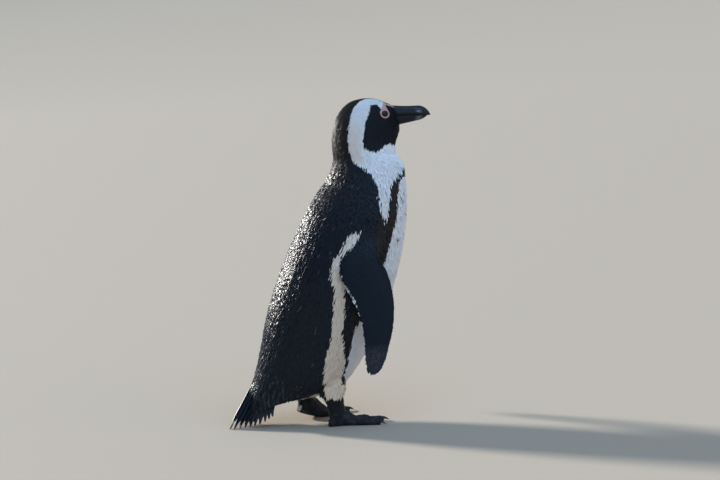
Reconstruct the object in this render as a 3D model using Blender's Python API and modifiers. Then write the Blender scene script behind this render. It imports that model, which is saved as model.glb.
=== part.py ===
"""African penguin (Spheniscus demersus), adult, standing in mid-step: a life-size still model.

Frame: +X is forward, +Y is the bird's left, +Z is up, in metres. The origin is on the floor, under the
middle of the whole bird. Every length below is in millimetres until metres() is applied.
"""

import math

import bmesh
import bpy
from mathutils import Matrix, Vector

MM = 0.001
GAP = 0.3  # between neighbouring solids

# Rings and steps of the lofted solids
BODY_SIDES = 26
LIMB_SIDES = 14
BILL_SIDES = 14
STEPS_PER_RIB = 3

# A rib is one cross-section of the body, seen from the side: where it meets the back line, where it meets
# the front line, its half width, where along it the body is widest (-1 at the back, 1 at the front) and
# how square it is (2 is an ellipse).
BODY_RIBS = (
    # back x, z, front x, z, half width, widest, squareness
    (-169, 4, -152, -4, 20, 0.6, 1.7),  # tips of the middle tail feathers
    (-156, 27, -115, 6, 34, 0.6, 1.6),  # tail fan
    (-139, 53, -91, 27, 36, 0.5, 1.8),  # root of the tail feathers
    (-125, 79, -70, 38, 41, 0.2, 2.0),  # rump
    (-115, 108, -29, 44, 52, 0.0, 2.1),
    (-106, 141, 16, 55, 64, 0.0, 2.2),  # vent
    (-97, 177, 61, 105, 73, 0.0, 2.2),
    (-85, 214, 92, 158, 77, 0.0, 2.2),  # widest part of the belly
    (-49, 296, 130, 255, 76, 0.0, 2.2),
    (-7, 372, 148, 341, 64, 0.05, 2.1),  # shoulders
    (27, 424, 149, 407, 46, 0.0, 2.0),  # foot of the neck
    (31, 440, 146, 426, 40, 0.0, 2.0),
    (31, 461, 137, 442, 36, 0.0, 2.0),  # throat
    (33, 482, 136, 453, 34, 0.0, 2.0),
    (43, 509, 138, 462, 32, 0.05, 2.1),  # nape
    (63, 528.5, 141, 470, 30.5, 0.1, 2.1),
    (85, 534, 143, 476, 28.5, 0.1, 2.1),  # crown and cheek
    (106, 532.5, 144, 480, 26, 0.05, 2.1),
    (124, 525, 144, 484, 20, 0.0, 2.1),  # forehead and chin
    (138, 517.5, 144, 488, 12, 0.0, 2.1),  # edge of the feathers at the bill
)
CUTS = {"tail": (0, 3), "trunk": (3, 10), "neck": (10, 13), "head": (13, 19)}
TAIL_SWING = 16  # the tip of the tail lies this far to the right

# Bill: it dips a little, the mouth line parts its two halves, and the upper one ends in a hook.
BILL_BASE_X, BILL_TIP_X = 134, 196
BILL_DIP = math.radians(3.5)
CULMEN_Z = 519.5
MOUTH_BASE_Z, MOUTH_TIP_Z = 503.5, 505
GONYS_Z = 485.6
BILL_HALF_WIDTH = 9.6

EYE_RADIUS = 8.5
EYE_CENTRE = (119, 20.3, 506)

# Flippers hang from the shoulder. A rib gives the distance below the shoulder, the trailing edge, the
# leading edge and the half thickness.
SHOULDER = (80, 67, 318)
WING_SPLAY = math.radians(14)
WING_LENGTH = 222
WING_BEND = 10  # how far the tip curves in towards the body
SHOULDER_TUCK = 13  # how far the root dips under the feathers of the shoulder
WING_RIBS = (
    (-14, -8, 18, 8.5),
    (8, -13.5, 17.5, 8.5),
    (30, -33, 19, 7.5),
    (55, -49, 27.5, 6.8),
    (78, -43.5, 34, 6.2),
    (95, -33, 36.5, 5.8),
    (117, -24.5, 37.5, 5.2),
    (155, -17, 32.5, 4.4),
    (179, -16, 25.5, 3.6),
    (199, -16, 19, 2.8),
    (212, -14.5, 12, 2.2),
    (219, -11.5, 5.5, 1.5),
    (WING_LENGTH, -7, 0, 1.0),
)

# Feet: angle of each toe from the foot's own heading (plus is towards the other foot), length from the
# ankle to the base of its claw and half width.
TOES = {"inner": (24, 61, 5.8), "middle": (2, 81, 6.8), "outer": (-17, 75, 6.2)}
ANKLES = {"right": (10, -32), "left": (-42, 36)}
FOOT_HEADING = {"right": math.radians(8), "left": math.radians(25)}
HEEL_LIFT = {"right": 0, "left": 6.5}  # the rear foot starts to roll on to its toes
INSTEP = {"right": 1, "left": 1.36}  # and its instep stands higher over the bent ankle
BALL_X = 26  # where a lifted foot starts to bend
HIPS = {"right": (4, -36), "left": (-46, 37)}
HIP_Z, ANKLE_Z = 88, 12
WEB_TOP, WEB_BOTTOM = 3.2, 0.6
CLAW_LENGTH, CLAW_RADIUS = 12.5, 3.4

SIDES = {"right": -1, "left": 1}


# ---------------------------------------------------------------- scene


def clear_scene():
    for obj in list(bpy.data.objects):
        bpy.data.objects.remove(obj)


def new_collection(name):
    collection = bpy.data.collections.new(name)
    bpy.context.scene.collection.children.link(collection)
    return collection


def material(name, colour, roughness, metallic=0.0):
    made = bpy.data.materials.new(name)
    made.use_nodes = True
    shader = made.node_tree.nodes["Principled BSDF"]
    shader.inputs["Base Color"].default_value = (*colour, 1)
    shader.inputs["Roughness"].default_value = roughness
    shader.inputs["Metallic"].default_value = metallic
    return made


def add_object(name, mesh, collection, finish=None, parent=None):
    obj = bpy.data.objects.new(name, mesh)
    collection.objects.link(obj)
    obj.parent = parent
    if finish:
        mesh.materials.clear()
        mesh.materials.append(finish)
    return obj


def evaluated_mesh(obj):
    """The object's mesh with its modifiers applied, in its own coordinates."""
    graph = bpy.context.evaluated_depsgraph_get()
    return bpy.data.meshes.new_from_object(obj.evaluated_get(graph), depsgraph=graph)


# ---------------------------------------------------------------- lofts


def smooth_table(rows, steps):
    """Rows between the given ones, on a smooth curve through them: cubic Hermite spans over chord length."""
    knots = [0.0]
    for a, b in zip(rows, rows[1:]):
        knots.append(knots[-1] + math.dist(a[:4], b[:4]) + 1e-6)

    def slope(i, column):
        if i == 0 or i == len(rows) - 1:
            j = min(max(i, 1), len(rows) - 1)
            return (rows[j][column] - rows[j - 1][column]) / (knots[j] - knots[j - 1])
        before, after = knots[i] - knots[i - 1], knots[i + 1] - knots[i]
        left = (rows[i][column] - rows[i - 1][column]) / before
        right = (rows[i + 1][column] - rows[i][column]) / after
        return (left * after + right * before) / (before + after)

    made = []
    for i in range(len(rows) - 1):
        span = knots[i + 1] - knots[i]
        for step in range(steps):
            t = step / steps
            made.append(
                tuple(
                    (2 * t**3 - 3 * t**2 + 1) * rows[i][c]
                    + (t**3 - 2 * t**2 + t) * span * slope(i, c)
                    + (3 * t**2 - 2 * t**3) * rows[i + 1][c]
                    + (t**3 - t**2) * span * slope(i + 1, c)
                    for c in range(len(rows[0]))
                )
            )
    made.append(tuple(float(x) for x in rows[-1]))
    return made


def ring(back, front, half_width, widest, squareness, sides):
    """Points round a rib, from its front over the left to its back and over the right."""
    middle, half = (back + front) / 2, (front - back) / 2
    points = []
    for i in range(sides):
        angle = 2 * math.pi * i / sides
        c, s = math.cos(angle), math.sin(angle)
        along = math.copysign(abs(c) ** (2 / squareness), c)
        aside = math.copysign(abs(s) ** (2 / squareness), s)
        along = widest + (1 - widest if c > 0 else 1 + widest) * along
        points.append(middle + half * along + Vector((0, half_width * aside, 0)))
    return points


def skin_over(name, rings):
    """A closed mesh over rings of equally many points, with flat ends."""
    bm = bmesh.new()
    loops = [[bm.verts.new(p * MM) for p in points] for points in rings]
    sides = len(loops[0])
    for lower, upper in zip(loops, loops[1:]):
        for i in range(sides):
            j = (i + 1) % sides
            bm.faces.new((lower[i], lower[j], upper[j], upper[i]))
    bm.faces.new(loops[0])
    bm.faces.new(loops[-1])
    bmesh.ops.recalc_face_normals(bm, faces=bm.faces)
    mesh = bpy.data.meshes.new(name)
    bm.to_mesh(mesh)
    bm.free()
    mesh.shade_smooth()
    return mesh


def side_ring(row, sides):
    """A ring from a row of back x, z, front x, z, half width, widest, squareness."""
    return ring(Vector((row[0], 0, row[1])), Vector((row[2], 0, row[3])), *row[4:], sides)


# ---------------------------------------------------------------- joining and cutting


def cut_by(obj, neighbour, cutters, gap=GAP):
    """Cuts obj back from a neighbour that is left as it is, with a gap between the two."""
    swelled = bpy.data.objects.new("cutter_" + neighbour.name + "_" + obj.name, neighbour.data)
    cutters.objects.link(swelled)
    swelled.parent = neighbour.parent
    swelled.location = neighbour.location
    for source in neighbour.modifiers:
        copied = swelled.modifiers.new(source.name, source.type)
        copied.operation, copied.object = source.operation, source.object
    swell = swelled.modifiers.new("swell", "DISPLACE")
    swell.strength = gap * MM
    swell.mid_level = 0
    swelled.hide_render = True
    swelled.display_type = "WIRE"
    cut = obj.modifiers.new("cut_by_" + neighbour.name, "BOOLEAN")
    cut.operation = "DIFFERENCE"
    cut.object = swelled
    return obj


def fused(name, meshes, voxel, smoothing, triangles):
    """One organic mesh from overlapping closed ones: remeshed, smoothed and thinned."""
    bm = bmesh.new()
    for mesh in meshes:
        bm.from_mesh(mesh)
    joined = bpy.data.meshes.new(name)
    bm.to_mesh(joined)
    bm.free()
    helper = bpy.data.objects.new(name + "_fusing", joined)
    bpy.context.scene.collection.objects.link(helper)
    remesh = helper.modifiers.new("remesh", "REMESH")
    remesh.mode = "VOXEL"
    remesh.voxel_size = voxel * MM
    smooth = helper.modifiers.new("smooth", "SMOOTH")
    smooth.factor, smooth.iterations = 0.5, smoothing
    dense = evaluated_mesh(helper)
    thin = helper.modifiers.new("thin", "DECIMATE")
    thin.ratio = triangles / (2 * len(dense.polygons))
    made = evaluated_mesh(helper)
    bpy.data.objects.remove(helper)
    made.name = name
    made.shade_smooth()
    return made


def set_on_floor(mesh):
    """Cuts off what lies below the floor, which leaves a small flat to stand on."""
    bm = bmesh.new()
    bm.from_mesh(mesh)
    everything = bm.verts[:] + bm.edges[:] + bm.faces[:]
    bmesh.ops.bisect_plane(bm, geom=everything, plane_co=(0, 0, 0), plane_no=(0, 0, -1), clear_outer=True)
    bmesh.ops.holes_fill(bm, edges=[edge for edge in bm.edges if edge.is_boundary], sides=0)
    bmesh.ops.recalc_face_normals(bm, faces=bm.faces)
    bm.to_mesh(mesh)
    bm.free()
    return mesh


# ---------------------------------------------------------------- trunk, neck, head and tail


def body_rows():
    return smooth_table(BODY_RIBS, STEPS_PER_RIB)


def row_between(rows, a, b, share):
    return tuple(x + (y - x) * share for x, y in zip(rows[a], rows[b]))


def parted_rows(rows, first, last):
    """The rows from one cut to the next, with half of each thin cut taken off both ends."""
    a, b = first * STEPS_PER_RIB, last * STEPS_PER_RIB
    part = list(rows[a : b + 1])
    narrow = 0.5 * GAP + 0.1
    if a > 0:
        step = min(math.dist(rows[a][0:2], rows[a + 1][0:2]), math.dist(rows[a][2:4], rows[a + 1][2:4]))
        part[0] = row_between(rows, a, a + 1, narrow / step)
    if b < len(rows) - 1:
        step = min(math.dist(rows[b][0:2], rows[b - 1][0:2]), math.dist(rows[b][2:4], rows[b - 1][2:4]))
        part[-1] = row_between(rows, b, b - 1, narrow / step)
    return part


def body_part(name):
    rows = parted_rows(body_rows(), *CUTS[name])
    mesh = skin_over(name, [side_ring(row, BODY_SIDES) for row in rows])
    root_x, tip_x = BODY_RIBS[CUTS["trunk"][0]][0], BODY_RIBS[0][0]
    for vertex in mesh.vertices:
        reach = max((root_x - vertex.co.x / MM) / (root_x - tip_x), 0)
        vertex.co.y -= TAIL_SWING * MM * reach**1.5
    return mesh


# ---------------------------------------------------------------- bill and eyes


def mouth_z(share):
    """Height of the mouth line, a share of the way from the bill's base to its tip."""
    return MOUTH_BASE_Z + (MOUTH_TIP_Z - MOUTH_BASE_Z) * share


def culmen_z(share):
    """Height of the upper edge: nearly straight, then bent down to the hook."""
    hook = max(share - 0.66, 0) / 0.34
    return CULMEN_Z - 0.7 * math.sin(math.pi * min(share / 0.66, 1)) - 12 * hook**2.3


def upper_edge_z(share):
    """Lower edge of the upper half: the mouth line, with the hook reaching below it."""
    hook = max(share - 0.82, 0) / 0.18
    return mouth_z(share) - 1.2 * hook**1.5


def gonys_z(share):
    """Lower edge of the lower half: rising all the way from the throat, faster near its tip."""
    rise = max(share - 0.7, 0) / 0.23
    return GONYS_Z + 14.5 * share + 4.8 * rise**2


def bill_half_width(share):
    return BILL_HALF_WIDTH * (1 - 0.45 * share) * math.sqrt(max(1 - share**6, 0)) + 0.7


def bill_half(name, end, steps, edges, width, widest):
    """One half of the bill; edges(share) gives its lower and upper height."""
    rings = []
    for i in range(steps + 1):
        share = end * i / steps
        x = BILL_BASE_X + (BILL_TIP_X - BILL_BASE_X) * share
        low, high = edges(share)
        blunt = math.sqrt(max(1 - (share / end) ** 8, 0.04))
        half = bill_half_width(share) * width * blunt
        rings.append(ring(Vector((x, 0, low)), Vector((x, 0, high)), half, widest, 2.0, BILL_SIDES))
    mesh = skin_over(name, rings)
    base = Matrix.Translation(Vector((BILL_BASE_X, 0, CULMEN_Z)) * MM)
    mesh.transform(base @ Matrix.Rotation(BILL_DIP, 4, "Y") @ base.inverted())
    return mesh


def upper_edges(share):
    low = upper_edge_z(share) + GAP / 2
    return low, max(culmen_z(share), low + 1.2)


def lower_edges(share):
    high = mouth_z(share) - GAP / 2
    return min(gonys_z(share), high - 1.2), high


def ball(name, radius):
    bm = bmesh.new()
    bmesh.ops.create_uvsphere(bm, u_segments=16, v_segments=10, radius=radius * MM)
    mesh = bpy.data.meshes.new(name)
    bm.to_mesh(mesh)
    bm.free()
    mesh.shade_smooth()
    return mesh


# ---------------------------------------------------------------- flippers


def wing(side):
    """A flipper: thickest near its leading edge, thin at the trailing edge, a little curved to the body."""
    sign = SIDES[side]
    rings = []
    for v, trail, lead, half_thick in smooth_table(WING_RIBS, 2):
        root = max(1 - (v - WING_RIBS[0][0]) / 44, 0)
        inward = WING_BEND * (max(v, 0) / WING_LENGTH) ** 2 + SHOULDER_TUCK * root**2
        trailing, leading = Vector((trail, 0, -v)), Vector((lead, 0, -v))
        points = ring(trailing, leading, half_thick, 0.35, 1.8, LIMB_SIDES)
        rings.append([p + Vector((0, -sign * inward, 0)) for p in points])
    mesh = skin_over("wing_" + side, rings)
    splay = Matrix.Rotation(sign * WING_SPLAY, 4, "X")
    mesh.transform(Matrix.Translation(Vector((SHOULDER[0], sign * SHOULDER[1], SHOULDER[2])) * MM) @ splay)
    return mesh


# ---------------------------------------------------------------- legs and feet


def leg(side):
    """The feathered leg and the short bare shank, from inside the trunk down to inside the foot."""
    hip = Vector((*HIPS[side], HIP_Z))
    ankle = Vector((*ANKLES[side], ANKLE_Z + 0.8 * HEEL_LIFT[side]))
    # share of the way down, distance to the back edge, distance to the front edge, half width
    table = ((0, 34, 30, 14), (0.3, 26, 25, 17), (0.55, 14, 18, 15), (0.72, 11, 18, 13), (1, 11, 20, 12))
    rings = []
    for share, behind, ahead, half_width in smooth_table(table, 3):
        axis = hip.lerp(ankle, share**0.9)
        back = axis - Vector((behind, 0, 0))
        front = axis + Vector((ahead, 0, 0))
        rings.append(ring(back, front, half_width, 0, 2.1, LIMB_SIDES))
    return skin_over("leg_" + side, rings)


def toe_height(share):
    """Height of a toe's back along its length, with a knuckle at each joint."""
    knuckles = sum(math.exp(-(((share - at) / 0.055) ** 2)) for at in (0.48, 0.72, 0.93))
    return 18 - 8.2 * min(share / 0.5, 1) ** 0.8 - 0.6 * share + 1.2 * knuckles


def toe(angle, length, half_width):
    rings = []
    for i in range(17):
        share = i / 16
        x = 2 + (length - 2) * share
        end = 1 if share < 0.86 else math.sqrt(max(1 - ((share - 0.86) / 0.16) ** 2, 0.12))
        bottom = Vector((x, 0, -0.8))
        top = Vector((x, 0, max(toe_height(share) * (0.35 + 0.65 * end), 3)))
        rings.append(ring(bottom, top, half_width * (1.12 - 0.25 * share) * end, -0.1, 2.2, 12))
    mesh = skin_over("toe", rings)
    mesh.transform(Matrix.Rotation(math.radians(angle), 4, "Z"))
    return mesh


def web(angle_a, length_a, angle_b, length_b):
    """The skin between two toes, its free edge a shallow arc."""
    steps = 10
    outline = [Vector((4, 0, 0))]
    for i in range(steps + 1):
        t = i / steps
        angle = math.radians(angle_a + (angle_b - angle_a) * t)
        reach = (length_a + (length_b - length_a) * t) * (0.95 - 0.13 * math.sin(math.pi * t))
        outline.append(Vector((math.cos(angle), math.sin(angle), 0)) * reach)
    bm = bmesh.new()
    face = bm.faces.new([bm.verts.new((p + Vector((0, 0, WEB_BOTTOM))) * MM) for p in outline])
    grown = bmesh.ops.extrude_face_region(bm, geom=[face])["geom"]
    moved = [item for item in grown if isinstance(item, bmesh.types.BMVert)]
    bmesh.ops.translate(bm, verts=moved, vec=(0, 0, (WEB_TOP - WEB_BOTTOM) * MM))
    bmesh.ops.recalc_face_normals(bm, faces=bm.faces)
    mesh = bpy.data.meshes.new("web")
    bm.to_mesh(mesh)
    bm.free()
    return mesh


def heel(rise):
    """The rounded heel and instep under the shank, its height times rise."""
    table = ((-13, 0, 8), (-9, 12, 11), (0, 23, 12.5), (12, 26, 12.5), (22, 23, 12), (29, 17, 11), (38, 11.5, 8))
    rings = []
    for x, height, half_width in smooth_table(table, 2):
        top = Vector((x, 0, max(height * rise, 2)))
        rings.append(ring(Vector((x, 0, -0.8)), top, half_width, -0.1, 2.2, 14))
    return skin_over("heel", rings)


def hind_toe():
    """The small hind toe, on the inner side of the shank and clear of the floor."""
    rings = []
    for i in range(7):
        share = i / 6
        x = 4 - 14 * share
        radius = 3.0 * math.sqrt(max(1 - (0.9 * share) ** 4, 0.2))
        low = Vector((x, 0, 9 - 3 * share - radius))
        rings.append(ring(low, low + Vector((0, 0, 2 * radius)), radius, 0, 2, 10))
    mesh = skin_over("hind_toe", rings)
    mesh.transform(Matrix.Translation((0, 8.5 * MM, 0)) @ Matrix.Rotation(math.radians(-28), 4, "Z"))
    return mesh


def foot(side):
    """The webbed foot, built as a right foot and mirrored for the left."""
    angles = [(a, length) for a, length, _ in TOES.values()]
    pieces = [toe(*spec) for spec in TOES.values()]
    pieces += [web(*a, *b) for a, b in zip(angles, angles[1:])]
    pieces += [heel(INSTEP[side]), hind_toe()]
    mesh = fused("foot_" + side, pieces, voxel=1.1, smoothing=3, triangles=760)
    return place_foot_piece(set_on_floor(mesh), side)


def place_foot_piece(mesh, side):
    """Moves a piece of a right foot, made round the ankle, to where that side's foot stands."""
    for vertex in mesh.vertices:
        behind = min(max((BALL_X * MM - vertex.co.x) / (BALL_X * MM), 0), 2)
        vertex.co.z += HEEL_LIFT[side] * MM * behind**1.6
    if side == "left":
        mesh.transform(Matrix.Scale(-1, 4, (0, 1, 0)))
        mesh.flip_normals()
    turn = Matrix.Rotation(FOOT_HEADING[side], 4, "Z")
    mesh.transform(Matrix.Translation(Vector((*ANKLES[side], 0)) * MM) @ turn)
    return mesh


def claw(angle, length, base_z=5.0, size=1.0, reverse=False, aside=0.0):
    """A blunt curved claw on the end of a toe, clear of the floor."""
    rings = []
    for i in range(7):
        share = i / 6
        radius = CLAW_RADIUS * size * (1 - share) ** 0.7 * 0.85 + 0.45
        x = length - 4 * size + CLAW_LENGTH * size * share
        z = base_z + size * (1.1 * math.sin(math.pi * share) - 4.2 * share**1.8)
        centre = Vector((x, 0, max(z, radius + 0.5)))
        lift = Vector((0, 0, radius))
        rings.append(ring(centre - lift, centre + lift, radius * 0.85, 0, 2, 6))
    mesh = skin_over("claw", rings)
    turn = Matrix.Rotation(math.radians(angle + (180 if reverse else 0)), 4, "Z")
    mesh.transform(Matrix.Translation((0, aside * MM, 0)) @ turn)
    return mesh


CLAWS = {name: dict(angle=a, length=length) for name, (a, length, _) in TOES.items()}
CLAWS["hind"] = dict(angle=-28, length=9, base_z=6.3, size=0.55, reverse=True, aside=8.5)


# ---------------------------------------------------------------- the bird


def build():
    clear_scene()
    bird = new_collection("african_penguin")
    cutters = new_collection("cutters")
    stance = bpy.data.objects.new("stance", None)
    bird.objects.link(stance)

    black = material("black_plumage", (0.015, 0.017, 0.022), 0.5)
    white = material("white_plumage", (0.78, 0.77, 0.74), 0.7)
    horn = material("bill_horn", (0.02, 0.021, 0.024), 0.35)
    claw_horn = material("claw_horn", (0.03, 0.027, 0.025), 0.35)
    skin = material("foot_skin", (0.03, 0.028, 0.028), 0.55)
    eye = material("eye", (0.03, 0.012, 0.008), 0.08)

    finishes = {"tail": black, "trunk": black, "neck": white, "head": white}
    nodes = {}
    for name, finish in finishes.items():
        nodes[name] = add_object(name, body_part(name), bird, finish, stance)
    set_on_floor(nodes["tail"].data)

    upper = bill_half("bill_upper", 1, 14, upper_edges, 1, -0.9)
    lower = bill_half("bill_lower", 0.93, 12, lower_edges, 0.93, 0.9)
    nodes["bill_upper"] = add_object("bill_upper", upper, bird, horn, stance)
    nodes["bill_lower"] = add_object("bill_lower", lower, bird, horn, stance)
    for side, sign in SIDES.items():
        centre = Vector((EYE_CENTRE[0], sign * EYE_CENTRE[1], EYE_CENTRE[2])) * MM
        eyeball = add_object("eye_" + side, ball("eye_" + side, EYE_RADIUS), bird, eye, stance)
        eyeball.location = centre
        cut_by(nodes["head"], eyeball, cutters)
        nodes[eyeball.name] = eyeball
    cut_by(nodes["bill_lower"], nodes["bill_upper"], cutters)
    for half in ("bill_upper", "bill_lower"):
        cut_by(nodes[half], nodes["head"], cutters)

    for side in SIDES:
        flipper = add_object("wing_" + side, wing(side), bird, black, stance)
        cut_by(flipper, nodes["trunk"], cutters)
        base = add_object("foot_" + side, foot(side), bird, skin, stance)
        shank = add_object("leg_" + side, leg(side), bird, white, stance)
        cut_by(shank, nodes["trunk"], cutters)
        cut_by(shank, base, cutters)
        for name, spec in CLAWS.items():
            mesh = place_foot_piece(claw(**spec), side)
            nail = add_object(f"claw_{side}_{name}", mesh, bird, claw_horn, stance)
            cut_by(nail, base, cutters)

    settle(bird, stance)


def settle(bird, stance):
    """Moves the whole bird so that the middle of its box is over the origin."""
    bpy.context.view_layer.update()
    graph = bpy.context.evaluated_depsgraph_get()
    corners = []
    for obj in bird.objects:
        if obj.type == "MESH":
            shown = obj.evaluated_get(graph)
            corners += [shown.matrix_world @ vertex.co for vertex in shown.data.vertices]
    for axis in (0, 1):
        low, high = min(c[axis] for c in corners), max(c[axis] for c in corners)
        stance.location[axis] = -(low + high) / 2
    stance.location[2] = -min(c.z for c in corners)


build()
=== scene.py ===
import math
from contextlib import contextmanager

import bmesh
import bpy
import numpy as np
from mathutils import Matrix, Vector, kdtree
from mathutils.bvhtree import BVHTree


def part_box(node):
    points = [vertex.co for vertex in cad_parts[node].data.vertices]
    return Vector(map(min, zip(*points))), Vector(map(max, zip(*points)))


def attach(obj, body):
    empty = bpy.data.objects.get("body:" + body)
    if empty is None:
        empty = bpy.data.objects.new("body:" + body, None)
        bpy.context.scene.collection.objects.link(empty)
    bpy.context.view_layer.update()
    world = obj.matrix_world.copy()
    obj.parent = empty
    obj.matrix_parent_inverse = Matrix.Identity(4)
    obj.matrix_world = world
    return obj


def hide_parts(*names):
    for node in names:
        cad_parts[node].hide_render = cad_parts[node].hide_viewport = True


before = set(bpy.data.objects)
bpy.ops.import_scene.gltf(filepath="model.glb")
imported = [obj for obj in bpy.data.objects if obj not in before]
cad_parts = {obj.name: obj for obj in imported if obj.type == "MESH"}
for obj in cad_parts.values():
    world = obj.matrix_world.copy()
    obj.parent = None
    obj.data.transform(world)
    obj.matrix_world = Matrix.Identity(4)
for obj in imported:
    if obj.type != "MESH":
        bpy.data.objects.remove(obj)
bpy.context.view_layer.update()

mm = 0.001
weld = 0.02 * mm  # corners of a solid closer than this are one point
floorGap = 0.02  # how far the lowest skin stays off the floor

# All sizes below are millimetres in the bird's own space: x forward, z up from the floor, and
# the right eye at x 119. The frame says where that eye stands, which places everything else.
eyeX = 119
eyeLow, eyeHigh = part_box("eye_right")
home = np.array([(eyeLow.x + eyeHigh.x) / 2 / mm - eyeX, 0.0, 0.0])


def toFrame(points):
    return (np.asarray(points, float) + home) * mm


def fromFrame(points):
    return np.asarray(points, float) / mm - home


def unit(vectors):
    return vectors / (np.linalg.norm(vectors, axis=-1, keepdims=True) + 1e-9)


def fadeIn(x, start, over):
    # 0 at start, 1 from start + over on; a negative over runs the other way
    return np.clip((x - start) / over, 0, 1)


def lookUp(table, x):
    return np.interp(x, *np.array(table).T)


def sideOf(points):
    # -1 on the bird's right, 1 on its left
    return np.where(points[:, 1] < 0, -1, 1)


def hump(x, middle, width):
    return math.exp(-((x - middle) / width) ** 2)


# Small mesh helpers

def newObject(name, data):
    made = bpy.data.objects.new(name, data)
    bpy.context.scene.collection.objects.link(made)
    return made


@contextmanager
def editing(mesh):
    bm = bmesh.new()
    bm.from_mesh(mesh)
    yield bm
    bm.to_mesh(mesh)
    bm.free()


def closedMesh(name, points, faces):
    # a smooth mesh whose faces all point outwards
    mesh = bpy.data.meshes.new(name)
    mesh.from_pydata([tuple(p) for p in points], [], faces)
    with editing(mesh) as bm:
        bmesh.ops.recalc_face_normals(bm, faces=bm.faces)
    mesh.shade_smooth()
    return mesh


def bands(rings, sides, first=0):
    # quads that join rings of points, each to the next
    quads = []
    for a in range(first, first + (rings - 1) * sides, sides):
        for j in range(sides):
            b, k = a + sides, (j + 1) % sides
            quads.append((a + j, b + j, b + k, a + k))
    return quads


def fan(middle, first, sides):
    return [(middle, first + j, first + (j + 1) % sides) for j in range(sides)]


def applyModifiers(obj):
    bpy.context.view_layer.update()
    graph = bpy.context.evaluated_depsgraph_get()
    made = bpy.data.meshes.new_from_object(obj.evaluated_get(graph), depsgraph=graph)
    obj.modifiers.clear()
    obj.data = made
    made.name = obj.name
    return made


def numbersOf(data, field="value", size=1, kind=float):
    flat = np.zeros(len(data) * size, np.float32 if kind is float else np.int32)
    data.foreach_get(field, flat)
    return flat.astype(kind).reshape((-1, size) if size > 1 else -1)


def pointsOf(mesh):
    return fromFrame(numbersOf(mesh.vertices, "co", 3))


def normalsOf(mesh):
    return numbersOf(mesh.vertex_normals, "vector", 3)


def setPoints(mesh, points):
    mesh.vertices.foreach_set("co", toFrame(points).astype(np.float32).ravel())
    mesh.update()


def putNumbers(mesh, name, values):
    # one number, whole number or vector for each point
    values = np.asarray(values)
    kind, field, dtype = "FLOAT", "value", np.float32
    if values.ndim > 1:
        kind, field = "FLOAT_VECTOR", "vector"
    elif values.dtype.kind == "i":
        kind, dtype = "INT", np.int32
    attribute = mesh.attributes.get(name) or mesh.attributes.new(name, kind, "POINT")
    attribute.data.foreach_set(field, np.ascontiguousarray(values, dtype).ravel())


def triangleCount(mesh):
    return sum(len(p.vertices) - 2 for p in mesh.polygons)


def joinMeshes(name, meshes):
    bm = bmesh.new()
    for mesh in meshes:
        bm.from_mesh(mesh)
    joined = bpy.data.meshes.new(name)
    bm.to_mesh(joined)
    bm.free()
    joined.shade_smooth()
    return joined


def handOver(obj, slot, *replaced):
    # the finished piece joins the model, in place of the solids it covers
    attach(obj, "root")
    if replaced:
        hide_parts(*replaced)
    print(obj.name + ":", triangleCount(obj.data), "triangles")


# The run of the body from the tail to the bill

# A rib is where the body's cross-section meets the back line (x, z) and the front line (x, z),
# and its half width there. Stations count the ribs: 0 at the tail's tip, 19 at the bill.
bodyGuide = {
    "ribs": (
        (-169, 4, -152, -4, 20), (-156, 27, -115, 6, 34), (-139, 53, -91, 27, 36),
        (-125, 79, -70, 38, 41), (-115, 108, -29, 44, 52), (-106, 141, 16, 55, 64),
        (-97, 177, 61, 105, 73), (-85, 214, 92, 158, 77), (-49, 296, 130, 255, 76),
        (-7, 372, 148, 341, 64), (27, 424, 149, 407, 46), (31, 440, 146, 426, 40),
        (31, 461, 137, 442, 36), (33, 482, 136, 453, 34), (43, 509, 138, 462, 32),
        (63, 528.5, 141, 470, 30.5), (85, 534, 143, 476, 28.5), (106, 532.5, 144, 480, 26),
        (124, 525, 144, 484, 20), (138, 517.5, 144, 488, 12)),
    "steps": 16,  # stations looked up between two ribs
    "across": 121,  # places looked up from the back line to the front line
}


def smoothRows(rows, steps):
    # rows between the given ones, on a smooth curve through them
    rows = np.array(rows, float)
    padded = np.vstack([2 * rows[0] - rows[1], rows, 2 * rows[-1] - rows[-2]])
    made = []
    for i in range(1, len(padded) - 2):
        a, b, c, d = padded[i - 1:i + 3]
        for t in np.arange(steps) / steps:
            bend = (2 * a - 5 * b + 4 * c - d) * t * t + (3 * b - a - 3 * c + d) * t ** 3
            made.append(0.5 * (2 * b + (c - a) * t + bend))
    made.append(rows[-1])
    return np.array(made)


def buildGuide(plan):
    rows = smoothRows(plan["ribs"], plan["steps"])
    shares = np.linspace(-0.3, 1.3, plan["across"])
    back, front = rows[:, 0:2], rows[:, 2:4]
    spots = back[:, None, :] + (front - back)[:, None, :] * shares[None, :, None]
    tree = kdtree.KDTree(spots.shape[0] * spots.shape[1])
    for i, spot in enumerate(spots.reshape(-1, 2)):
        tree.insert((spot[0], 0, spot[1]), i)
    tree.balance()
    return {"rows": rows, "stations": np.arange(len(rows)) / plan["steps"], "shares": shares,
            "flow": unit(-np.gradient(spots, axis=0)), "tree": tree}


guide = buildGuide(bodyGuide)


def ribAt(station, column):
    return np.interp(station, guide["stations"], guide["rows"][:, column])


def alongBody(points):
    # station, angle round from the middle of the belly and direction of the lie of the coat
    found = np.array([guide["tree"].find((p[0], 0, p[2]))[1] for p in points])
    row, column = np.divmod(found, len(guide["shares"]))
    flow = np.zeros((len(points), 3))
    flow[:, [0, 2]] = guide["flow"][row, column]
    aside = np.abs(points[:, 1]) / guide["rows"][row, 4]
    angle = np.degrees(np.arctan2(aside, 2 * guide["shares"][column] - 1))
    return guide["stations"][row], angle, flow


# Flippers: the same hanging blade as the solids, to find places along and across it

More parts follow.
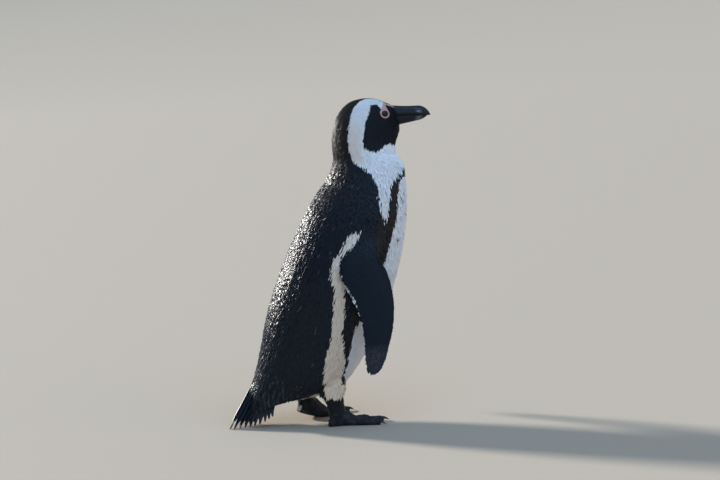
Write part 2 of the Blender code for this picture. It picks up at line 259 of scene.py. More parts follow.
flipper = {
    "shoulder": (80, 67, 318),
    "splay": 14,
    "outline": (  # distance below the shoulder, trailing edge, leading edge
        (-14, -8, 18), (8, -13.5, 17.5), (30, -33, 19), (55, -49, 27.5), (78, -43.5, 34),
        (95, -33, 36.5), (117, -24.5, 37.5), (155, -17, 32.5), (179, -16, 25.5),
        (199, -16, 19), (212, -14.5, 12), (219, -11.5, 5.5), (222, -7, 0)),
    "narrowest": 4,
}


def wingTurn(sign):
    return np.array(Matrix.Rotation(math.radians(sign * flipper["splay"]), 3, "X"))


def onWing(points, sign):
    # distance below the shoulder and share of the way across from the trailing edge
    shoulder = np.array(flipper["shoulder"], float) * (1, sign, 1)
    local = (points - shoulder) @ wingTurn(sign)
    at, trail, lead = smoothRows(flipper["outline"], 4).T
    down = -local[:, 2]
    trail, lead = np.interp(down, at, trail), np.interp(down, at, lead)
    return down, (local[:, 0] - trail) / np.maximum(lead - trail, flipper["narrowest"])


print("guide ready")

# Markings: the same rules colour the skin and every feather

# Edges are angles round from the middle of the belly, in degrees, against stations of the body,
# and each marking reaches only as far as its own edge is given.
markings = {
    "bandInner": ((5.4, 32), (5.8, 41), (6.0, 46), (6.4, 51), (6.9, 56), (7.3, 52), (8.0, 47),
                  (8.6, 43), (9.0, 39), (9.4, 39), (9.7, 34), (9.85, 22), (9.95, 0)),
    "bibInner": ((8.8, 54), (9.0, 54), (9.3, 51), (9.5, 52), (9.7, 46), (9.9, 28), (10.15, 14),
                 (10.35, 0)),
    "bibOuter": ((8.8, 55), (8.9, 61), (9.1, 66), (9.5, 71), (9.7, 78), (9.9, 87), (10.2, 103),
                 (10.5, 116), (11.1, 120), (12.6, 122), (13.8, 125), (14.4, 133), (15.4, 150),
                 (16.0, 164), (16.6, 171), (17.2, 173), (17.7, 172), (18.1, 160), (18.5, 120)),
    "stripeFront": ((5.0, 29), (5.3, 34), (5.6, 40), (6.1, 53), (6.7, 67), (7.1, 70), (7.3, 74),
                    (7.5, 79), (7.8, 88), (7.95, 94), (8.06, 95), (8.15, 92), (8.25, 88),
                    (8.33, 84), (8.5, 83)),
    "stripeRear": ((4.75, 36), (4.9, 46), (5.2, 58), (5.5, 67), (5.9, 73), (6.5, 77), (6.9, 81),
                   (7.2, 85), (7.5, 90), (7.6, 94), (7.7, 99), (8.0, 102), (8.2, 97), (8.42, 96),
                   (8.56, 88)),
    "vent": ((2.5, 29), (4.75, 29)),
    # on the flipper: share of the way across and distance down it
    "wingEdge": (0.014, (40, 205)),
    "wingUnder": ((0.12, 0.74), (-20, 206)),
    # outlines and a line in side view (x, z)
    "mask": ((170, 540), (123, 540), (122, 524), (120.5, 521), (115.5, 515), (112, 519),
             (106, 523.5), (97, 522), (93, 506), (87, 494), (85, 480), (82, 465), (83, 454),
             (94, 448), (103, 446), (111, 449), (116, 456), (123, 458.5), (131, 455),
             (139, 449), (170, 440)),
    "pinkPatch": ((112.6, 510), (115.6, 516.5), (117.6, 521), (119.4, 525.5), (121.3, 524.5),
                  (124.2, 517), (127.6, 510), (120, 504)),
    "pinkLine": ((120, 523.8), (125, 522.4), (132, 519.6), (140, 515.9)),
    "patchClear": 7,  # the bare patch and line keep this far from the middle of the head
    "lineClear": 4,
    "spots": {  # station, angle, radius of the small black spots on each side of the belly
        -1: ((9.42, 21, 2.2), (9.28, 25, 2.8), (9.1, 23, 1.7), (8.98, 12, 2.6), (5.3, 27, 2.6),
             (8.5, 31, 1.6), (12.35, 38, 1.4)),
        1: ((9.3, 18, 2.6), (8.9, 27, 2.1), (8.7, 9, 1.8), (7.9, 22, 2.4), (6.4, 30, 2.2)),
    },
    "spotScale": (62, 1.15),  # millimetres in a station and in a degree of the belly
}


def edgeAt(name, station):
    return lookUp(markings[name], station)


def reaches(name, station):
    return (station > markings[name][0][0]) & (station < markings[name][-1][0])


def insideShape(x, z, corners):
    inside = np.zeros(len(x), bool)
    ring = list(corners)
    for (ax, az), (bx, bz) in zip(ring, ring[1:] + ring[:1]):
        crosses = (az > z) != (bz > z)
        inside ^= crosses & (x < ax + (z - az) * (bx - ax) / (bz - az + 1e-12))
    return inside


def distanceToLine(x, z, corners):
    best = np.full(len(x), 1e6)
    for (ax, az), (bx, bz) in zip(corners, corners[1:]):
        length = (bx - ax) ** 2 + (bz - az) ** 2
        t = np.clip(((x - ax) * (bx - ax) + (z - az) * (bz - az)) / length, 0, 1)
        best = np.minimum(best, np.hypot(x - ax - t * (bx - ax), z - az - t * (bz - az)))
    return best


def bodyIsWhite(points, station, angle):
    rear = reaches("stripeRear", station) & (angle < edgeAt("stripeRear", station))
    thigh = rear & (station <= markings["bandInner"][0][0])
    stripe = rear & (angle > edgeAt("stripeFront", station))
    belly = reaches("bandInner", station) & (angle < edgeAt("bandInner", station))
    vent = (station <= markings["vent"][1][0]) & (station > markings["vent"][0][0])
    vent &= angle < markings["vent"][0][1]
    bib = reaches("bibOuter", station) & (angle > edgeAt("bibInner", station))
    bib &= angle < edgeAt("bibOuter", station)
    bib &= ~insideShape(points[:, 0], points[:, 2], markings["mask"])
    white = belly | thigh | vent | stripe | bib
    side = sideOf(points)
    long, wide = markings["spotScale"]
    for sign, spots in markings["spots"].items():
        for at, around, radius in spots:
            away = np.hypot((station - at) * long, (angle - around) * wide)
            white &= ~((side == sign) & (away < radius))
    return white


def wingIsWhite(down, across, outer, chance):
    wide, (first, last) = markings["wingEdge"]
    edge = outer & (across < wide + wide * chance) & (down > first) & (down < last)
    (rear, front), (first, last) = markings["wingUnder"]
    under = ~outer & (across > rear + 0.05 * chance) & (across < front + 0.1 * chance)
    under &= (down > first) & (down < last)
    blotch = ~outer & (np.sin(down * 0.19) * np.sin(across * 17 + down * 0.05) > 0.72)
    return edge | (under & ~blotch)


# The eyes look out and a little up and forward; lids and bare skin lie round that line.
eyePlan = {
    "centre": (119, 20.3, 506),
    "look": (0.24, 0.9, 0.30),
    "ball": 8.5,
    "cornea": (0.25, 22),  # height of its bulge, and degrees off the line of sight
    "ring": 7.4,
    "pupil": (2.2, 2.5),  # its soft edge, and then that of the iris
    "iris": (3.8, 4.8),
}


def eyeFrame(sign):
    centre = np.array(eyePlan["centre"], float) * (1, sign, 1)
    look = unit(np.array(eyePlan["look"], float) * (1, sign, 1))
    across = unit(np.cross((0.0, 0.0, 1.0), look))
    return centre, look, across, np.cross(look, across)


def fromEye(points, sign):
    # distance off the line of sight, where the point is in front of the eye
    centre, look, _, _ = eyeFrame(sign)
    away = points - centre
    along = away @ look
    off = np.linalg.norm(away - along[:, None] * look, axis=1)
    return np.where(along > 0, off, 99.0)


def fromEyes(points):
    return np.minimum(fromEye(points, -1), fromEye(points, 1))


def bareness(points):
    # 1 on the naked pink skin round and above the eye, 0 under feathers
    x, aside, z = points[:, 0], np.abs(points[:, 1]), points[:, 2]
    bare = fadeIn(fromEyes(points), eyePlan["ring"] + 0.5, -1.0)
    patch = insideShape(x, z, markings["pinkPatch"]) & (aside > markings["patchClear"])
    patch &= z > eyePlan["centre"][2]
    line = fadeIn(distanceToLine(x, z, markings["pinkLine"]), 1.7, -0.5)
    line *= aside > markings["lineClear"]
    return np.maximum(np.maximum(bare, patch * 1.0), line)


# The skin: one closed surface fused from the flesh of the solids

skinPlan = {
    "flesh": ("trunk", "neck", "head", "tail", "leg_left", "leg_right", "wing_left",
              "wing_right", "foot_left", "foot_right"),
    "voxel": 1.25,
    "swell": 0.25,  # closes the thin gaps between the solids
    "smoothing": (0.5, 5),  # strength and rounds
    "search": 12.0,  # how far off the solids are looked for
    "belongs": 4,  # and how near one has to be for the skin to take its region
    "spread": {"blade": 10, "depth": 14, "bare": 2},  # rounds that soften the steps in each
    "depth": ((0, 3.0), (3, 4.0), (4.2, 4.8), (9.3, 4.8), (10.2, 3.8), (12, 3.0), (14, 2.2),
              (16, 1.5), (19, 1.0)),  # of the coat over the body, by station
    "wingDepth": 0.9,
    "legDepth": ((26, 0.3), (60, 2.9)),  # by height
    "footDepth": 0.15,
    "bareSunk": 0.85,  # how much of the depth is given up where no feathers grow
    "tailReach": 0.52,  # share of the tail's length that is flesh
    "tailThin": 0.34,  # width of its end
    "wingFrom": 24,  # the coat of the body runs on over the shoulder down to here
    "wingBlend": (2, 62),  # between these it thins to the coat of the flipper
    "bodyShare": 0.16,  # of the triangles kept under the coat
    "shoulderEase": {"down": 10, "tall": 24, "wide": 34, "outside": 38, "least": 0.02,
                     "strength": 0.9, "rounds": 420},
}

# regions of the skin
bodyRegion, wingRegion, legRegion, footRegion = 0, 1, 2, 3


def shrinkTail(mesh):
    # the flesh of the tail is a short stump, and the quills reach on from it
    points = pointsOf(mesh)
    station, _, _ = alongBody(points)
    middle = (guide["rows"][:, 0:2] + guide["rows"][:, 2:4]) / 2

    def middleAt(at):
        x, z = (np.interp(at, guide["stations"], middle[:, column]) for column in (0, 1))
        return np.stack([x, np.zeros(len(at)), z], 1)

    keep = np.sqrt(np.clip(station / 3, 0, 1))[:, None]
    moved = middleAt(3 - (3 - station) * skinPlan["tailReach"])
    thin = skinPlan["tailThin"]
    setPoints(mesh, moved + (points - middleAt(station)) * (thin + (1 - thin) * keep))


def fleshMesh():
    copies = []
    for name in skinPlan["flesh"]:
        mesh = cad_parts[name].data.copy()
        with editing(mesh) as bm:
            bmesh.ops.remove_doubles(bm, verts=bm.verts, dist=weld)
        if name == "tail":
            shrinkTail(mesh)
        setPoints(mesh, pointsOf(mesh) + normalsOf(mesh) * skinPlan["swell"])
        copies.append(mesh)
    return joinMeshes("flesh", copies)


def nearestTo(name, points):
    # distance from each point to one solid, or the whole search where it is further off
    mesh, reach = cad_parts[name].data, skinPlan["search"]
    spots = pointsOf(mesh)
    tree = BVHTree.FromPolygons([tuple(p) for p in spots],
                                [tuple(f.vertices) for f in mesh.polygons])
    near = np.all((points > spots.min(0) - reach) & (points < spots.max(0) + reach), axis=1)
    away = np.full(len(points), reach)
    for i in np.nonzero(near)[0]:
        hit = tree.find_nearest(tuple(points[i]), reach)
        if hit[0] is not None:
            away[i] = hit[3]
    return away


def regionsOf(points):
    # which region each point is in, and 0 where the coat of the body grows, 1 down the flipper
    region, share = np.zeros(len(points), np.int32), np.zeros(len(points))
    best = nearestTo("trunk", points)
    for kind, part in ((wingRegion, "wing"), (legRegion, "leg"), (footRegion, "foot")):
        for side in ("_left", "_right"):
            away = nearestTo(part + side, points)
            region[(away < best) & (away < skinPlan["belongs"])] = kind
            best = np.minimum(best, away)
    for sign in (-1, 1):
        down, _ = onWing(points, sign)
        here = (region == wingRegion) & (np.sign(points[:, 1]) == sign)
        share[here] = np.interp(down[here], skinPlan["wingBlend"], (0, 1))
        region[here & (down < skinPlan["wingFrom"])] = bodyRegion
    return region, share


def spread(mesh, values, rounds):
    # averages numbers over neighbouring points, to leave no step between regions
    a, b = numbersOf(mesh.edges, "vertices", 2, int).T
    size = len(values)
    count = np.bincount(a, minlength=size) + np.bincount(b, minlength=size) + 1.0
    for _ in range(rounds):
        total = values + np.bincount(a, values[b], size) + np.bincount(b, values[a], size)
        values = total / count
    return values


def easeShoulders(mesh):
    # rounds off the step where each flipper leaves the side
    plan = skinPlan["shoulderEase"]
    points = pointsOf(mesh)
    weight = np.zeros(len(points))
    for sign in (-1, 1):
        down, _ = onWing(points, sign)
        aside = (points[:, 0] - flipper["shoulder"][0]) / plan["wide"]
        pull = np.exp(-((down - plan["down"]) / plan["tall"]) ** 2 - aside ** 2)
        weight = np.maximum(weight, pull * (points[:, 1] * sign > plan["outside"]))
    pairs = numbersOf(mesh.edges, "vertices", 2, int)
    pairs = pairs[(weight[pairs] > plan["least"]).all(axis=1)]
    near = np.unique(pairs)
    a, b = np.searchsorted(near, pairs[:, 0]), np.searchsorted(near, pairs[:, 1])
    size = len(near)
    count = np.bincount(a, minlength=size) + np.bincount(b, minlength=size)
    pull = weight[near]
    for axis in range(3):
        values = points[near, axis]
        for _ in range(plan["rounds"]):
            total = np.bincount(a, values[b], size) + np.bincount(b, values[a], size)
            values = values + pull * (total / count - values) * plan["strength"]
        points[near, axis] = values
    setPoints(mesh, points)


def coatDepth(points, region, station, blade):
    depth = lookUp(skinPlan["depth"], station)
    depth = depth * (1 - blade) + skinPlan["wingDepth"] * blade
    leg = region == legRegion
    depth[leg] = lookUp(skinPlan["legDepth"], points[leg, 2])
    depth[region == footRegion] = 0
    return depth


def worley(points, size, seed):
    # distance to the nearest of scattered cell middles and to the next, in cell sizes
    rng = np.random.default_rng(seed)
    low = points.min(0) - size
    cells = np.ceil((points.max(0) + size - low) / size).astype(int) + 1
    jitter = rng.random((*cells, 3))
    base = np.floor((points - low) / size).astype(int)
    first = np.full(len(points), 9.0)
    second = first.copy()
    for i in range(27):
        step = np.unravel_index(i, (3, 3, 3))
        at = np.clip(base + step - 1, 0, cells - 1)
        middle = low + (at + jitter[at[:, 0], at[:, 1], at[:, 2]]) * size
        away = np.linalg.norm(points - middle, axis=1) / size
        second = np.minimum(second, np.maximum(first, away))
        first = np.minimum(first, away)
    return first, second


def buildSkin():
    plan, rounds = skinPlan, skinPlan["spread"]
    flesh = newObject("skinForm", fleshMesh())
    remesh = flesh.modifiers.new("fuse", "REMESH")
    remesh.mode = "VOXEL"
    remesh.voxel_size = plan["voxel"] * mm
    smooth = flesh.modifiers.new("ease", "SMOOTH")
    smooth.factor, smooth.iterations = plan["smoothing"]
    mesh = applyModifiers(flesh)
    easeShoulders(mesh)
    points = pointsOf(mesh)
    region, blade = regionsOf(points)
    blade = spread(mesh, blade, rounds["blade"])
    station, _, _ = alongBody(points)
    depth = spread(mesh, coatDepth(points, region, station, blade), rounds["depth"])
    foot = region == footRegion
    depth[foot] = np.minimum(depth[foot], plan["footDepth"])
    depth *= 1 - plan["bareSunk"] * spread(mesh, bareness(points), rounds["bare"])
    lowered = points - normalsOf(mesh) * (depth + plan["swell"])[:, None]
    lowered[:, 2] = np.maximum(lowered[:, 2], floorGap)
    setPoints(mesh, lowered)
    putNumbers(mesh, "region", region)
    putNumbers(mesh, "blade", blade)
    return flesh


skinForm = buildSkin()
print("skin form:", triangleCount(skinForm.data), "triangles")

# Nodes: one function makes them all, and a wire adds its own when it is reckoned with

def addNode(tree, kind, settings=None, **values):
    # values go to the sockets of those names, or to a numbered one as _0
    node = tree.nodes.new(kind)
    for name, value in (settings or {}).items():
        setattr(node, name, value)
    for name, value in values.items():
        socket = node.inputs[int(name[1:]) if name[0] == "_" else name.replace("_", " ")]
        value = value.socket if isinstance(value, Wire) else value
        if isinstance(value, bpy.types.NodeSocket):
            tree.links.new(value, socket)
        else:
            socket.default_value = value
    return node


class Wire:
    def __init__(self, tree, socket):
        self.tree, self.socket = tree, socket

    def maths(self, operation, first, second=0.0, clamp=False):
        settings = {"operation": operation, "use_clamp": clamp}
        node = addNode(self.tree, "ShaderNodeMath", settings, _0=first, _1=second)
        return Wire(self.tree, node.outputs[0])

    def __add__(self, other): return self.maths("ADD", self, other)
    def __radd__(self, other): return self.maths("ADD", other, self)
    def __sub__(self, other): return self.maths("SUBTRACT", self, other)
    def __rsub__(self, other): return self.maths("SUBTRACT", other, self)
    def __mul__(self, other): return self.maths("MULTIPLY", self, other)
    def __rmul__(self, other): return self.maths("MULTIPLY", other, self)
    def __truediv__(self, other): return self.maths("DIVIDE", self, other)
    def __abs__(self): return self.maths("ABSOLUTE", self)
    def sine(self): return self.maths("SINE", self)
    def held(self): return self.maths("ADD", self, clamp=True)

    def ramp(self, low, high):
        # 0 below low, 1 above high
        return ((self - low) / (high - low)).held()


class Finish:
    # one material with the principled shader, and the nodes that feed it
    def __init__(self, name, **shader):
        self.material = bpy.data.materials.new(name)
        self.material.use_nodes = True
        self.tree = self.material.node_tree
        self.shader = self.tree.nodes["Principled BSDF"]
        for socket, value in shader.items():
            self.shader.inputs[socket.replace("_", " ")].default_value = value

    def node(self, kind, settings=None, out=0, **values):
        return Wire(self.tree, addNode(self.tree, kind, settings, **values).outputs[out])

    def number(self, name, out="Fac"):
        return self.node("ShaderNodeAttribute", {"attribute_name": name}, out)

    def place(self, size=(1, 1, 1), turn=(0, 0, 0)):
        # object coordinates in metres, turned and stretched
        spot = self.node("ShaderNodeTexCoord", out="Object")
        return self.node("ShaderNodeMapping", Vector=spot, Scale=size, Rotation=turn)

    def split(self, vector, axis):
        return self.node("ShaderNodeSeparateXYZ", out=axis, Vector=vector)

    def noise(self, place, scale, detail):
        return self.node("ShaderNodeTexNoise", Vector=place, Scale=scale, Detail=detail,
                         Roughness=0.55)

    def mix(self, factor, first, second):
        return self.node("ShaderNodeMix", {"data_type": "RGBA"}, 2, _0=factor, _6=first, _7=second)

    def bump(self, height, strength, distance):
        return self.node("ShaderNodeBump", Height=height, Strength=strength, Distance=distance * mm)

    def wear(self, **links):
        for socket, wire in links.items():
            self.tree.links.new(wire.socket, self.shader.inputs[socket.replace("_", " ")])
        return self.material


def colour(red, green, blue):
    return (red, green, blue, 1)


# Plumage finishes

plumageLook = {
    "white": colour(0.77, 0.84, 0.94),
    "shaded": colour(0.50, 0.53, 0.60),  # of the white feathers
    # cream of warm light bounced from the floor, painted into the white feathers
    "bounceCream": colour(0.74, 0.61, 0.46),
    "black": colour(0.0036, 0.0088, 0.0170),
    # the tail's dark is lighter than the body's: painted light that makes up for the shade the coat
    # casts on the quills
    "quill": colour(0.0085, 0.0165, 0.0290),
    "brown": colour(0.030, 0.019, 0.014),
    "tip": colour(0.032, 0.038, 0.050),
    # colour of the pale feather edges: painted glint and pale fringe
    "fringeAndGlint": colour(0.095, 0.120, 0.155),
    # name: roughness of the dark feathers, specular, dark colour, barbs along a feather
    "finishes": {"body": (0.25, 0.16, "black", 75), "mantle": (0.27, 0.12, "black", 75),
                 "head": (0.43, 0.12, "black", 75), "wing": (0.42, 0.12, "black", 75),
                 "quill": (0.34, 0.26, "quill", 460)},
    "paleRough": 0.72,
}


def plumageFinish(name, gloss, specular, black, barbed):
    look = plumageLook
    finish = Finish(name + "Plumage", Specular_IOR_Level=specular)
    dark, shade, warm = finish.number("dark"), finish.number("shade"), finish.number("warm")
    vane = finish.number("vane", "Vector")
    across, along = finish.split(vane, "X"), finish.split(vane, "Y")
    tip = along.ramp(0.72, 1.0)
    shaft = 1 - (abs(across - 0.5) * 9).held()
    # barbs slant from the shaft to the edges
    barbs = (along * barbed - abs(across - 0.5) * 60).sine() * 0.5 + 0.5
    mottle = finish.noise(finish.place((1, 1, 0.35)), 1400, 2)
    # warm mixes the white toward the painted cream of bounced light
    pale = finish.mix(warm * 0.8, look["white"], look["bounceCream"])
    pale = finish.mix(shade * 0.18 + mottle * 0.10 + barbs * 0.08, pale, look["shaded"])
    deep = finish.mix(warm * (0.65 + 0.35 * shade), look[black], look["brown"])
    lit = (tip * 0.26 + shaft * 0.14 + barbs * 0.10) * (0.3 + 0.7 * shade)
    deep = finish.mix(lit, deep, look["tip"])
    # pale feather edges: painted glints on the back and the nape, pale fringes and painted
    # highlight down the rump
    fringeAndGlint = shade.ramp(0.82, 0.92)
    deep = finish.mix(fringeAndGlint * (0.18 + 0.30 * shaft + 0.26 * tip), deep, look["fringeAndGlint"])
    rough = look["paleRough"] - dark * (look["paleRough"] - gloss) + (shade - 0.5) * 0.10
    rough = rough + (mottle - 0.5) * 0.10 - warm * dark * 0.08
    return finish.wear(Base_Color=finish.mix(dark, pale, deep), Roughness=rough,
                       Normal=finish.bump(barbs, 0.35, 0.08))


plumage = {name: plumageFinish(name, *look) for name, look in plumageLook["finishes"].items()}

# One feather of each kind: a thin closed vane, a unit wide, long and high

featherShapes = {
    # how far the shaft stands above the edges, how far the tip turns up or down, and rows of
    # distance along and width
    "body": (0.21, 0.0, ((0.0, 0.34), (0.34, 0.86), (0.66, 1.0), (0.87, 0.78))),
    "bodyCurled": (0.24, 0.14, ((0.0, 0.34), (0.34, 0.9), (0.66, 1.0), (0.87, 0.72))),
    "bodyLong": (0.10, -0.06, ((0.0, 0.30), (0.36, 0.82), (0.70, 0.94), (0.90, 0.60))),
    "down": (0.16, 0.0, ((0.0, 0.4), (0.45, 1.0), (0.80, 0.66))),
    "downLoose": (0.16, 0.12, ((0.0, 0.4), (0.45, 1.0), (0.80, 0.58))),
    "scale": (0.22, 0.0, ((0.0, 0.55), (0.62, 1.0))),
}
featherThick = 0.02


def heightAlong(y):
    return 0.45 * y + 0.55 * (1 - (1 - y) ** 2)


def featherMesh(name):
    keel, bow, rows = featherShapes[name]
    points, spots, faces, sharp = [], [], [], []
    for y, width in rows:
        half = width / 2
        ridge = heightAlong(y) + bow * y * y + featherThick
        edge = ridge - keel * (0.4 + 0.6 * y)
        points += [(-half, y, edge), (0, y, ridge), (half, y, edge)]
        spots += [(0.5 - half, y * 0.9, 0), (0.5, y * 0.9 + 0.1, 0), (0.5 + half, y * 0.9, 0)]
    points.append((0, 1, heightAlong(1) + bow - keel * 0.4))
    spots.append((0.5, 1, 0))
    last = len(points) - 1
    for left in range(0, last - 3, 3):
        for a, b in ((left, left + 1), (left + 1, left + 2), (left + 2, left)):
            faces.append((a, b, b + 3, a + 3))
        sharp += [{left, left + 3}, {left + 2, left + 5}]
    left, middle, right = last - 3, last - 2, last - 1
    faces += [(left, middle, last), (middle, right, last), (right, left, last), (2, 1, 0)]
    sharp += [{left, last}, {right, last}]
    mesh = closedMesh("vane_" + name, points, faces)
    with editing(mesh) as bm:
        for edge in bm.edges:
            edge.smooth = {v.index for v in edge.verts} not in sharp
    putNumbers(mesh, "vane", spots)
    feather = newObject("vane_" + name, mesh)
    feather.hide_render = True
    return feather


vanes = {name: featherMesh(name) for name in featherShapes}

# Geometry Nodes: scatter the roots, then lay a feather on each

tuftPatch = 0.003  # how much of the unwrap one feather takes


def newTree(name, sockets):
    tree = bpy.data.node_groups.new(name, "GeometryNodeTree")
    tree.interface.new_socket("Geometry", in_out="INPUT", socket_type="NodeSocketGeometry")
    for label, kind, value in sockets:
        made = tree.interface.new_socket(label, in_out="INPUT", socket_type="NodeSocket" + kind)
        if value is not None:
            made.default_value = value
    tree.interface.new_socket("Geometry", in_out="OUTPUT", socket_type="NodeSocketGeometry")
    return tree, tree.nodes.new("NodeGroupInput").outputs, tree.nodes.new("NodeGroupOutput").inputs


def scatterTree():
    sockets = (("Spacing", "Float", 0.003), ("Seed", "Int", 1))
    tree, given, result = newTree("scatterRoots", sockets)
    spacing = given["Spacing"]
    area = addNode(tree, "ShaderNodeMath", {"operation": "MULTIPLY"}, _0=spacing, _1=spacing)
    dense = addNode(tree, "ShaderNodeMath", {"operation": "DIVIDE"}, _0=9.0, _1=area.outputs[0])
    points = addNode(tree, "GeometryNodeDistributePointsOnFaces", {"distribute_method": "POISSON"},
                     Mesh=given["Geometry"], Distance_Min=spacing, Seed=given["Seed"],
                     Density_Max=dense.outputs[0])
    kept = addNode(tree, "GeometryNodeStoreNamedAttribute", {"data_type": "FLOAT_VECTOR"},
                   Geometry=points.outputs["Points"], Name="up", Value=points.outputs["Normal"])
    flat = addNode(tree, "GeometryNodePointsToVertices", Points=kept.outputs["Geometry"])
    tree.links.new(flat.outputs[0], result["Geometry"])
    return tree


def featherTree():
    sockets = (("Vane A", "Object", None), ("Vane B", "Object", None), ("Vane C", "Object", None),
               ("Patch", "Float", tuftPatch), ("Finish", "Material", None))
    tree, given, result = newTree("layFeathers", sockets)

    def named(name, kind="FLOAT_VECTOR"):
        stored = addNode(tree, "GeometryNodeInputNamedAttribute", {"data_type": kind}, Name=name)
        return stored.outputs[0]

    turn = addNode(tree, "FunctionNodeAxesToRotation",
                   {"primary_axis": "Z", "secondary_axis": "Y"}, _0=named("up"), _1=named("lie"))
    kinds = addNode(tree, "GeometryNodeGeometryToInstance")
    for label in ("Vane C", "Vane B", "Vane A"):
        vane = addNode(tree, "GeometryNodeObjectInfo", Object=given[label])
        tree.links.new(vane.outputs["Geometry"], kinds.inputs[0])
    laid = addNode(tree, "GeometryNodeInstanceOnPoints", Points=given["Geometry"],
                   Instance=kinds.outputs[0], Pick_Instance=True,
                   Instance_Index=named("kind", "INT"), Rotation=turn.outputs[0],
                   Scale=named("size"))
    real = addNode(tree, "GeometryNodeRealizeInstances", Geometry=laid.outputs[0])
    reach = addNode(tree, "ShaderNodeVectorMath", {"operation": "SCALE"}, _0=named("vane"),
                    Scale=given["Patch"])
    spot = addNode(tree, "ShaderNodeVectorMath", {"operation": "ADD"}, _0=named("place"),
                   _1=reach.outputs[0])
    mapped = addNode(tree, "GeometryNodeStoreNamedAttribute",
                     {"data_type": "FLOAT2", "domain": "CORNER"}, Geometry=real.outputs[0],
                     Name="OFBake", Value=spot.outputs[0])
    done = addNode(tree, "GeometryNodeSetMaterial", Geometry=mapped.outputs[0],
                   Material=given["Finish"])
    tree.links.new(done.outputs[0], result["Geometry"])
    return tree


trees = {"scatter": scatterTree(), "lay": featherTree()}


def runTree(obj, tree, **values):
    made = obj.modifiers.new("nodes", "NODES")
    made.node_group = tree
    names = {item.name: item.identifier for item in tree.interface.items_tree
             if item.in_out == "INPUT"}
    for label, value in values.items():
        made[names[label.replace("_", " ")]] = value
    return applyModifiers(obj)


def rootsOn(mask, spacing, seed):
    # evenly scattered roots on the faces of the skin where mask is true at every corner
    patch = skinForm.data.copy()
    with editing(patch) as bm:
        bm.verts.ensure_lookup_table()
        dropped = [bm.verts[i] for i in np.nonzero(~mask)[0]]
        bmesh.ops.delete(bm, geom=dropped, context="VERTS")
    holder = newObject("patch", patch)
    roots = runTree(holder, trees["scatter"], Spacing=spacing * mm, Seed=seed)
    up = unit(numbersOf(roots.attributes["up"].data, "vector", 3))
    blade = numbersOf(roots.attributes["blade"].data)
    bpy.data.objects.remove(holder)
    return pointsOf(roots), up, blade


def turned(vectors, axes, degrees):
    # vectors turned about axes by an angle each
    a = np.radians(degrees)[:, None]
    return (vectors * np.cos(a) + np.cross(axes, vectors) * np.sin(a)
            + axes * (vectors * axes).sum(1, keepdims=True) * (1 - np.cos(a)))


def layFeathers(name, shapes, finish, roots):
    # roots is one dictionary of arrays, with a row for each feather
    count = len(roots["points"])
    mesh = bpy.data.meshes.new(name)
    mesh.vertices.add(count)
    setPoints(mesh, roots["points"])
    place = np.clip(roots["place"], tuftPatch, 1 - 2 * tuftPatch)
    roots.update(size=roots["size"] * mm, place=np.column_stack([place, np.zeros(count)]))
    for label in ("up", "lie", "size", "place", "dark", "shade", "warm", "kind"):
        putNumbers(mesh, label, roots[label])
    coat = newObject(name, mesh)
    a, b, c = (vanes[shape] for shape in shapes)
    mesh = runTree(coat, trees["lay"], Vane_A=a, Vane_B=b, Vane_C=c, Finish=plumage[finish])
    for label in ("up", "lie", "size", "place", "kind"):
        if mesh.attributes.get(label):
            mesh.attributes.remove(mesh.attributes[label])
    handOver(coat, "white_plumage" if roots["dark"].mean() < 0.5 else "black_plumage")


# Where the feathers grow

formPoints = pointsOf(skinForm.data)
formRegion = numbersOf(skinForm.data.attributes["region"].data, kind=int)
formStation, _, _ = alongBody(formPoints)
formBare = bareness(formPoints)

coatFades = {
    # where each part of the coat starts by station and by angle, and over how much it takes over
    "hanging": ((5.4, -1.4), (165, -60)),
    "rump": ((5.0, -1.6), (14, 12)),
    "tailRidge": ((5.0, -1.2), (95, 25)),
    "nape": ((8.7, 1.5), (100, 30)),
    "headNape": ((17, -3), (112, 20)),
    "hindNeck": ((14.6, -1.2), (88, 14)),
}
kindShares = (0.6, 0.25, 0.15)  # of the three shapes in a piece
shownAt = 0.8  # share of a feather's length where its colour shows


def fade(name, station, angle):
    (first, over), (start, around) = coatFades[name]
    return fadeIn(station, first, over) * fadeIn(angle, start, around)


def ripples(points, station, angle):
    # wavy ridges that run down the back: how far each feather there rolls, from -1 to 1
    arc = np.radians(angle) * ribAt(station, 4) * sideOf(points)
    narrow = arc * 1.16 + 2.3 * np.sin(station * 9.1) + 1.6 * np.sin(station * 17.3 + arc * 0.21)
    broad = arc * 0.63 + 1.9 * np.sin(station * 6.7 + 2) + 4 + 1.2 * np.sin(arc * 0.17)
    return 0.62 * np.sin(narrow) + 0.38 * np.sin(broad)


def shadesFor(rng, chance):
    # a shade for each feather, where the share given by chance has a pale edge: painted glint on
    # the back and the nape, pale fringe and painted highlight down the rump
    plain = 0.8 * rng.random(len(chance))
    return np.where(rng.random(len(chance)) < chance, 0.88 + 0.1 * plain, plain)


def ruffled(roots, rng, inPlane, roll, pitch, rolled=0.0):
    # lays the feathers along the skin, each a little out of true
    count = len(roots["points"])
    up, lie = roots["up"], roots["lie"]
    lie = unit(lie - up * (lie * up).sum(1, keepdims=True))
    lie = turned(lie, up, rng.normal(0, inPlane, count))
    up = turned(up, lie, rolled + rng.normal(0, roll, count))
    side = np.cross(up, lie)
    turn = rng.normal(0, pitch, count)
    roots["up"], roots["lie"] = turned(up, side, turn), turned(lie, side, turn)
    return roots


